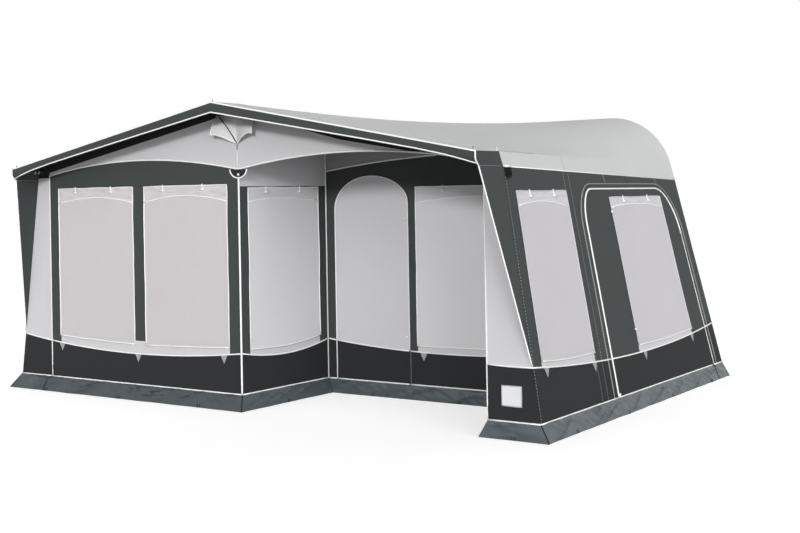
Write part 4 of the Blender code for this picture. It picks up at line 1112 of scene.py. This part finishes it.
# The heads' slanting light and dark streaks are painted light and shade of fine creases, over a little real
# relief.
pinkish = cover_cloths((0.60, 0.575, 0.585), (0.565, 0.54, 0.55), (0.70, 0.67, 0.68), (0.40, 0.36, 0.378))
cool = cover_cloths((0.71, 0.70, 0.715), (0.67, 0.66, 0.675), (0.66, 0.67, 0.68), (0.47, 0.475, 0.485))
plain_edged = cover_cloths((0.60, 0.585, 0.605), (0.565, 0.55, 0.57), (0.66, 0.655, 0.68),
                           (0.42, 0.415, 0.435), is_piped=False)
joints = {joint["name"]: joint for joint in frame["joints"]}
vertical, right_lean = (0, 0, 1), (-0.15153, 0, 0.98845)
door_lean, left_lean = (-0.19951, 0, 0.9799), (0.18543, 0, 0.98266)
covers = (
    # name, wall, window, cloths, body, the way it rolls down,
    # feet left and right and their sag, the seam's ends and its rise
    ("front_outer_cover", front_wall, outer_window, pinkish, "tent", vertical,
     (0.480, 0.447, 0.004), (1.598, 1.598, 0.047)),
    ("front_inner_cover", front_wall, inner_window, pinkish, "tent", vertical,
     (0.447, 0.474, 0.004), (1.597, 1.597, 0.050)),
    ("return_cover", return_wall, return_window, cool, "tent", vertical,
     (0.462, 0.490, 0.028), (1.593, 1.586, 0.028)),
    ("inset_cover", inset_wall, inset_window, cool, "tent", vertical,
     (0.430, 0.446, 0.003), (1.558, 1.575, 0.038)),
    ("right_side_cover", right_wall, side_window, plain_edged, "tent", right_lean,
     (0.510, 0.478, 0.008), (1.535, 1.515, 0.039)),
    ("right_door_cover", right_wall, door_window, plain_edged, "side_door", door_lean,
     (0.446, 0.462, 0.010), (1.500, 1.485, 0.030)),
    ("left_side_cover", left_wall, left_window, plain_edged, "tent", left_lean,
     (0.455, 0.455, 0.008), (1.520, 1.500, 0.035)),
)


def slack(wall, seed):
    """A wall's place function with the wandering edges and shallow ripples of a hanging cover."""
    def on_cover(u, z, out=0.0):
        aside = edge_wander * noise.noise(Vector((seed, 0, z * edge_rows)))
        up = edge_wander * noise.noise(Vector((u * ripple_columns, seed, 0)))
        swell = ripple * (1 + noise.noise(Vector((u * ripple_columns, seed, z * ripple_rows))))
        return wall(u + aside, z + up, out + swell)
    return on_cover


for number, (name, wall, edges, cloths, body, rolling, feet, sewn) in enumerate(covers):
    main_cloth, head_cloth, edge_cloth = cloths
    left, right, top = edges[0], edges[1], edges[3]
    wall = slack(wall, first_seed + seed_step * number)
    foot = sagging((left, feet[0]), (right, feet[1]), feet[2])
    seam = curve(left, right, sagging((left, sewn[0]), (right, sewn[1]), -sewn[2]))
    main = lay(name + "_cloth", curve(left, right, foot, foot_step) + seam[::-1], wall, main_cloth, body,
               out=cover_out)
    head = lay(name + "_head", seam + [(right, top), (left, top)], wall, head_cloth, body,
               out=cover_out)
    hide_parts(name)
    edge = [(left, feet[0]), (left, top), (right, top), (right, feet[1])]
    bound = pipe_wall(name + "_binding", wall, [edge], cover_out, binding_radius, edge_cloth, body,
                      facets=fine_facets)
    joined = pipe_wall(name + "_seam", wall, [seam], cover_out + seam_out, binding_radius, body=body,
                       facets=fine_facets)
    anchor = wall((left + right) / 2, top, cover_out)
    reach = (anchor - wall((left + right) / 2, (feet[0] + feet[1] - feet[2]) / 2, cover_out)).length
    for part in (main, head, bound, joined):
        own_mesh(part)
        tuple(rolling)
    hem_body, low = joints[name + "_roll"]["child"], curve(left, right, foot)
    hem = lay(name + "_hem_cloth", low + curve(right, left, lambda u: foot(u) + hem_height), wall,
              main_cloth, hem_body, out=hem_out, step=hem_step)
    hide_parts(name + "_hem")
    pipe_wall(name + "_hem_piping", wall, [low], hem_out, binding_radius, body=hem_body, facets=fine_facets)
    places, bar_z = [between(left, right, share) for share in toggle_shares], top - toggle_drop
    loops = [[(u, top + loop_top), (u, top - loop_foot)] for u in places]
    bars = [[(u - toggle_half, bar_z), (u + toggle_half, bar_z)] for u in places]
    pipe_wall(name + "_toggle_loops", wall, loops, cover_out + loop_out, toggle_loop_radius, body=body,
              facets=fine_facets)
    pipe_wall(name + "_toggles", wall, bars, cover_out + toggle_out, toggle_radius, body=body)


# Tabs: small grey triangles of strap cloth sewn under the charcoal seam at the window corners.
# Each hangs by its wide edge with its point down.
tab_half, tab_drop, tab_out, tab_step = 0.036, 0.068, 0.004, 0.03
tab_grey = woven("strap", (0.40, 0.40, 0.41), (0.33, 0.33, 0.34))
tabs = (
    ("front", front_wall, front_charcoal, (-2.046, -1.122, -0.179), "tent"),
    ("inset", inset_wall, inset_charcoal, (0.96,), "tent"),
    ("right_side", right_wall, side_charcoal, (front_y + 0.19, front_y + 0.94), "tent"),
    ("side_door", right_wall, side_charcoal, (front_y + 1.88, front_y + 2.93), "side_door"),
    ("left_side", left_wall, side_charcoal, (front_y + 1.35, front_y + 2.90), "tent"),
)
for name, wall, height, places, body in tabs:
    for i, u in enumerate(places):
        outline = [(u, height(u) - tab_drop), (u + tab_half, height(u + tab_half)),
                   (u - tab_half, height(u - tab_half))]
        lay(name + "_tab_" + str(i), outline, wall, tab_grey, body, out=tab_out, step=tab_step)


# Mud walls: creased coated film splayed from the hem to the ground, slit at the corners.
# Cords run down its corners and laps, and webbing loops for pegs are sewn along its foot.
mud_front, mud_return, mud_inset, mud_stub, mud_side, mud_flare = 0.08, 0.06, 0.02, 0.02, 0.07, 0.065
mud_step, mud_rows, lap_rows, mud_top_gap, ground_z = 0.022, 10, 2, 0.001, 0.0015
crease_depth, held_end, rise_growth = 0.034, 0.12, 0.8
# waves along, their slant, waves down, seed
big_folds, small_folds, dents = (3.6, 1.4, 0.6, 0), (10.0, -2.2, 1.2, 9), (13, 0, 4, 5)
big_share, small_share, dent_share, fold_growth = 0.7, 0.3, 0.15, 4
foot_wander, foot_waves, foot_draw, foot_growth = 0.011, 5, 0.7, 3
loop_spacing, loop_half, loop_rows, loop_radius, cord_radius = 0.9, 0.012, 2, 0.004, 0.004
mud_film = mottled("mud_wall_film", (0.082, 0.101, 0.112), (0.052, 0.067, 0.077), 5.0, 0.36, 0.006)
# This darker copy of the film, used on the left run's front strip, is painted shade.
painted_shade_film = mottled("mud_wall_film", (0.049, 0.062, 0.070), (0.026, 0.035, 0.041), 6.0, 0.40, 0.008)


def creased(start, end, seed):
    """A point function for a strip of film between two lines, with shallow slanting creases."""
    (top_a, low_a), (top_b, low_b) = start, end
    length = (top_b - top_a).length
    columns = max(round(length / mud_step), 2)
    way = (top_b - top_a).normalized()

    def swelling(u, down, waves):
        along, slant, fall, extra = waves
        return noise.noise(Vector((u * along + down * slant, down * fall, seed + extra)))

    def fold(u, down, waves):
        return (1 - 2 * abs(swelling(u, down, waves))) ** fold_growth

    def point(i, j):
        share, down = i / columns, j / mud_rows
        high, low = between(top_a, top_b, share), between(low_a, low_b, share)
        splay = Vector((low.x - high.x, low.y - high.y, 0))
        out = (low - high).cross(way).normalized()
        if out.dot(splay) < 0:
            out = -out
        u, left = share * length, (1 - share) * length
        held = sin(pi * min(u / held_end, 1) / 2) * sin(pi * min(left / held_end, 1) / 2)
        folds = big_share * fold(u, down, big_folds) + small_share * fold(u, down, small_folds)
        folds += dent_share * swelling(u, down, dents)
        depth = crease_depth * sin(pi * down ** rise_growth) * held * folds
        wander = noise.noise(Vector((u * foot_waves, 0, seed))) - foot_draw
        aside = foot_wander * down ** foot_growth * held * wander
        moved = between(high, low, down) + out * depth + splay.normalized() * aside
        moved.z = max(moved.z, ground_z) if down < 1 else ground_z
        return moved
    return point, columns


def mud_wall(name, corners, seed, films, laps):
    """A run of film round several corners, each corner given by its top and bottom in plan.

    A lap is a seam down a strip, given by the strip's number and the share of its length.
    """
    pieces, loops, cords = [], [], []
    spots = [(Vector((*top, hem_z - mud_top_gap)), Vector((*low, ground_z))) for top, low in corners]
    for k, (start, end) in enumerate(pairs(spots)):
        point, columns = creased(start, end, seed + k)
        pieces.append(lay_grid(name + "_" + str(k), mud_rows, columns, point, films[k]))
        for strip, share in laps:
            if strip == k:
                lapped = [point(round(share * columns), j) for j in range(0, mud_rows + 1, lap_rows)]
                cords.append([spot + Vector((0, 0, cord_radius)) for spot in lapped])
        count = max(round((end[0] - start[0]).length / loop_spacing), 1)
        way = (end[0] - start[0]).normalized() * loop_half
        for n in range(count):
            at = columns * (n + 0.5) / count
            low, high = point(at, mud_rows) + Vector((0, 0, loop_radius)), point(at, mud_rows - loop_rows)
            loops.append([high - way, low - way, low + way, high + way])
        if k:
            cords.append([between(*start, share) + Vector((0, 0, cord_radius * share))
                          for share in (0, 0.5, 1)])
    pipe(name + "_peg_loops", loops, loop_radius, webbing, facets=fine_facets)
    pipe(name + "_corner_cords", cords, cord_radius, webbing, facets=fine_facets)
    return pieces


inset_end = side_half(inset_y, hem_z) - side_gap
left_run = mud_wall("left_mud", (
    ((-rear_foot_half, rear_y), (-rear_foot_half - mud_side, rear_y)),
    ((-front_foot_half, front_y), (-front_foot_half - mud_side, front_y - mud_front)),
    ((0, front_y), (mud_return, front_y - mud_front)),
    ((0, inset_y), (mud_return, inset_y - mud_inset)),
    ((inset_end, inset_y), (inset_end, inset_y - mud_inset)),
), seed=41.0, films=(mud_film, painted_shade_film, mud_film, mud_film), laps=((0, 0.07), (1, 0.15)))
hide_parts("left_mud_wall")
right_run = mud_wall("right_mud", (
    ((zip_half, front_y), (zip_half - mud_flare, front_y - mud_stub)),
    ((front_foot_half, front_y), (front_foot_half + mud_side, front_y - mud_stub)),
    ((rear_foot_half, rear_y), (rear_foot_half + mud_side, rear_y)),
), seed=61.0, films=(mud_film, mud_film), laps=((1, 0.93),))
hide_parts("right_mud_wall")


# Frame: the CAD tubes, heads, clamps and plates keep their shapes and get their finishes.
# The tubes are bright steel, the canopy frame is dull zinc, and the clamp levers, sliders and wall
# plates are black mouldings. The bead in the rear rail is white like the piping.
steel = mottled("tube", (0.55, 0.56, 0.57), (0.42, 0.43, 0.44), 22.0, 0.42, 0.0002)
moulding = mottled("moulding", (0.014, 0.014, 0.014), (0.022, 0.022, 0.022), 60.0, 0.55, 0.0003)
zinc = mottled("tube", (0.16, 0.165, 0.17), (0.11, 0.115, 0.12), 22.0, 0.55, 0.0002)
set_shader(steel, "Metallic", 0.9)
set_shader(zinc, "Metallic", 0.8)
legs = ("left_corner", "centre", "right_corner", "inner_corner", "porch")
steel_nodes = [leg + end for leg in legs for end in ("_upper_leg", "_lower_leg")]
steel_nodes += ["ridge_pole", "left_roof_pole", "right_roof_pole", "left_front_rail", "right_front_rail",
                "inset_rail"]
moulded_nodes = [leg + "_clamp_lever" for leg in legs] + ["left_zip_slider", "right_zip_slider"]
moulded_nodes += ["ridge_wall_plate", "left_roof_wall_plate", "right_roof_wall_plate"]
for names, material in ((steel_nodes, steel), (["canopy_frame"], zinc), (moulded_nodes, moulding),
                        (["rail_bead"], piping_white)):
    for name in names:
        mesh = frame["nodes"][name].data
        mesh.materials.clear()
        mesh.materials.append(material)


# Corner tensioners: a webbing strap with a moulded ladder buckle at each eave corner of the side walls.
# The strap lies flat on the cloth, and a short white roll of tape holds it at its top.
strap_top, strap_low, strap_half, strap_out, strap_step = 1.80, 1.718, 0.028, 0.005, 0.02
buckle_top, buckle_low, buckle_half, buckle_radius = 1.788, 1.738, 0.040, 0.007
ring_out, bar_out, bar_inset, loop_tube_radius = 0.008, 0.010, 0.018, 0.010
tensioner_y, buckle_shine = front_y + 0.048, 0.15
buckle_black = mottled("moulding", (0.006, 0.006, 0.007), (0.010, 0.010, 0.010), 60.0, 0.85)
set_shader(buckle_black, "Specular IOR Level", buckle_shine)


def level(half, z):
    return [(tensioner_y - half, z), (tensioner_y + half, z)]


for side, wall in (("left", left_wall), ("right", right_wall)):
    tape = rectangle(tensioner_y - strap_half, tensioner_y + strap_half, strap_low, strap_top)
    lay(side + "_tensioner_strap", tape, wall, webbing, out=strap_out, step=strap_step)
    ring = rectangle(tensioner_y - buckle_half, tensioner_y + buckle_half, buckle_low, buckle_top)
    bars = [route(wall, closed(ring), ring_out, strap_step)]
    for z in (buckle_low + bar_inset, buckle_top - bar_inset):
        bars.append(route(wall, level(buckle_half, z), bar_out, strap_step))
    pipe(side + "_tensioner_buckle", bars, buckle_radius, buckle_black)
    pipe_wall(side + "_tensioner_loop", wall, [level(strap_half, strap_top)], ring_out, loop_tube_radius,
              step=strap_step)


# Couplings: black moulded sleeves with steel collars on the canopy's side arms.
# They sit just outside the front wall, where each arm comes through its stub.
sleeve_ends, sleeve_radius, sleeve_facets = (0.04, 0.10), 0.0145, 16
collar_starts, collar_length, collar_radius = (0.045, 0.083), 0.012, 0.018
for side, sign in both_sides:
    arm_x, arm_z = sign * stub_arm_hole[0], stub_arm_hole[1]
    sleeve = [Vector((arm_x, front_y - ahead, arm_z)) for ahead in sleeve_ends]
    collars = [[Vector((arm_x, front_y - ahead, arm_z)) for ahead in (start, start + collar_length)]
               for start in collar_starts]
    pipe(side + "_arm_coupling", [sleeve], sleeve_radius, moulding, facets=sleeve_facets)
    pipe(side + "_arm_collars", collars, collar_radius, steel, facets=sleeve_facets)
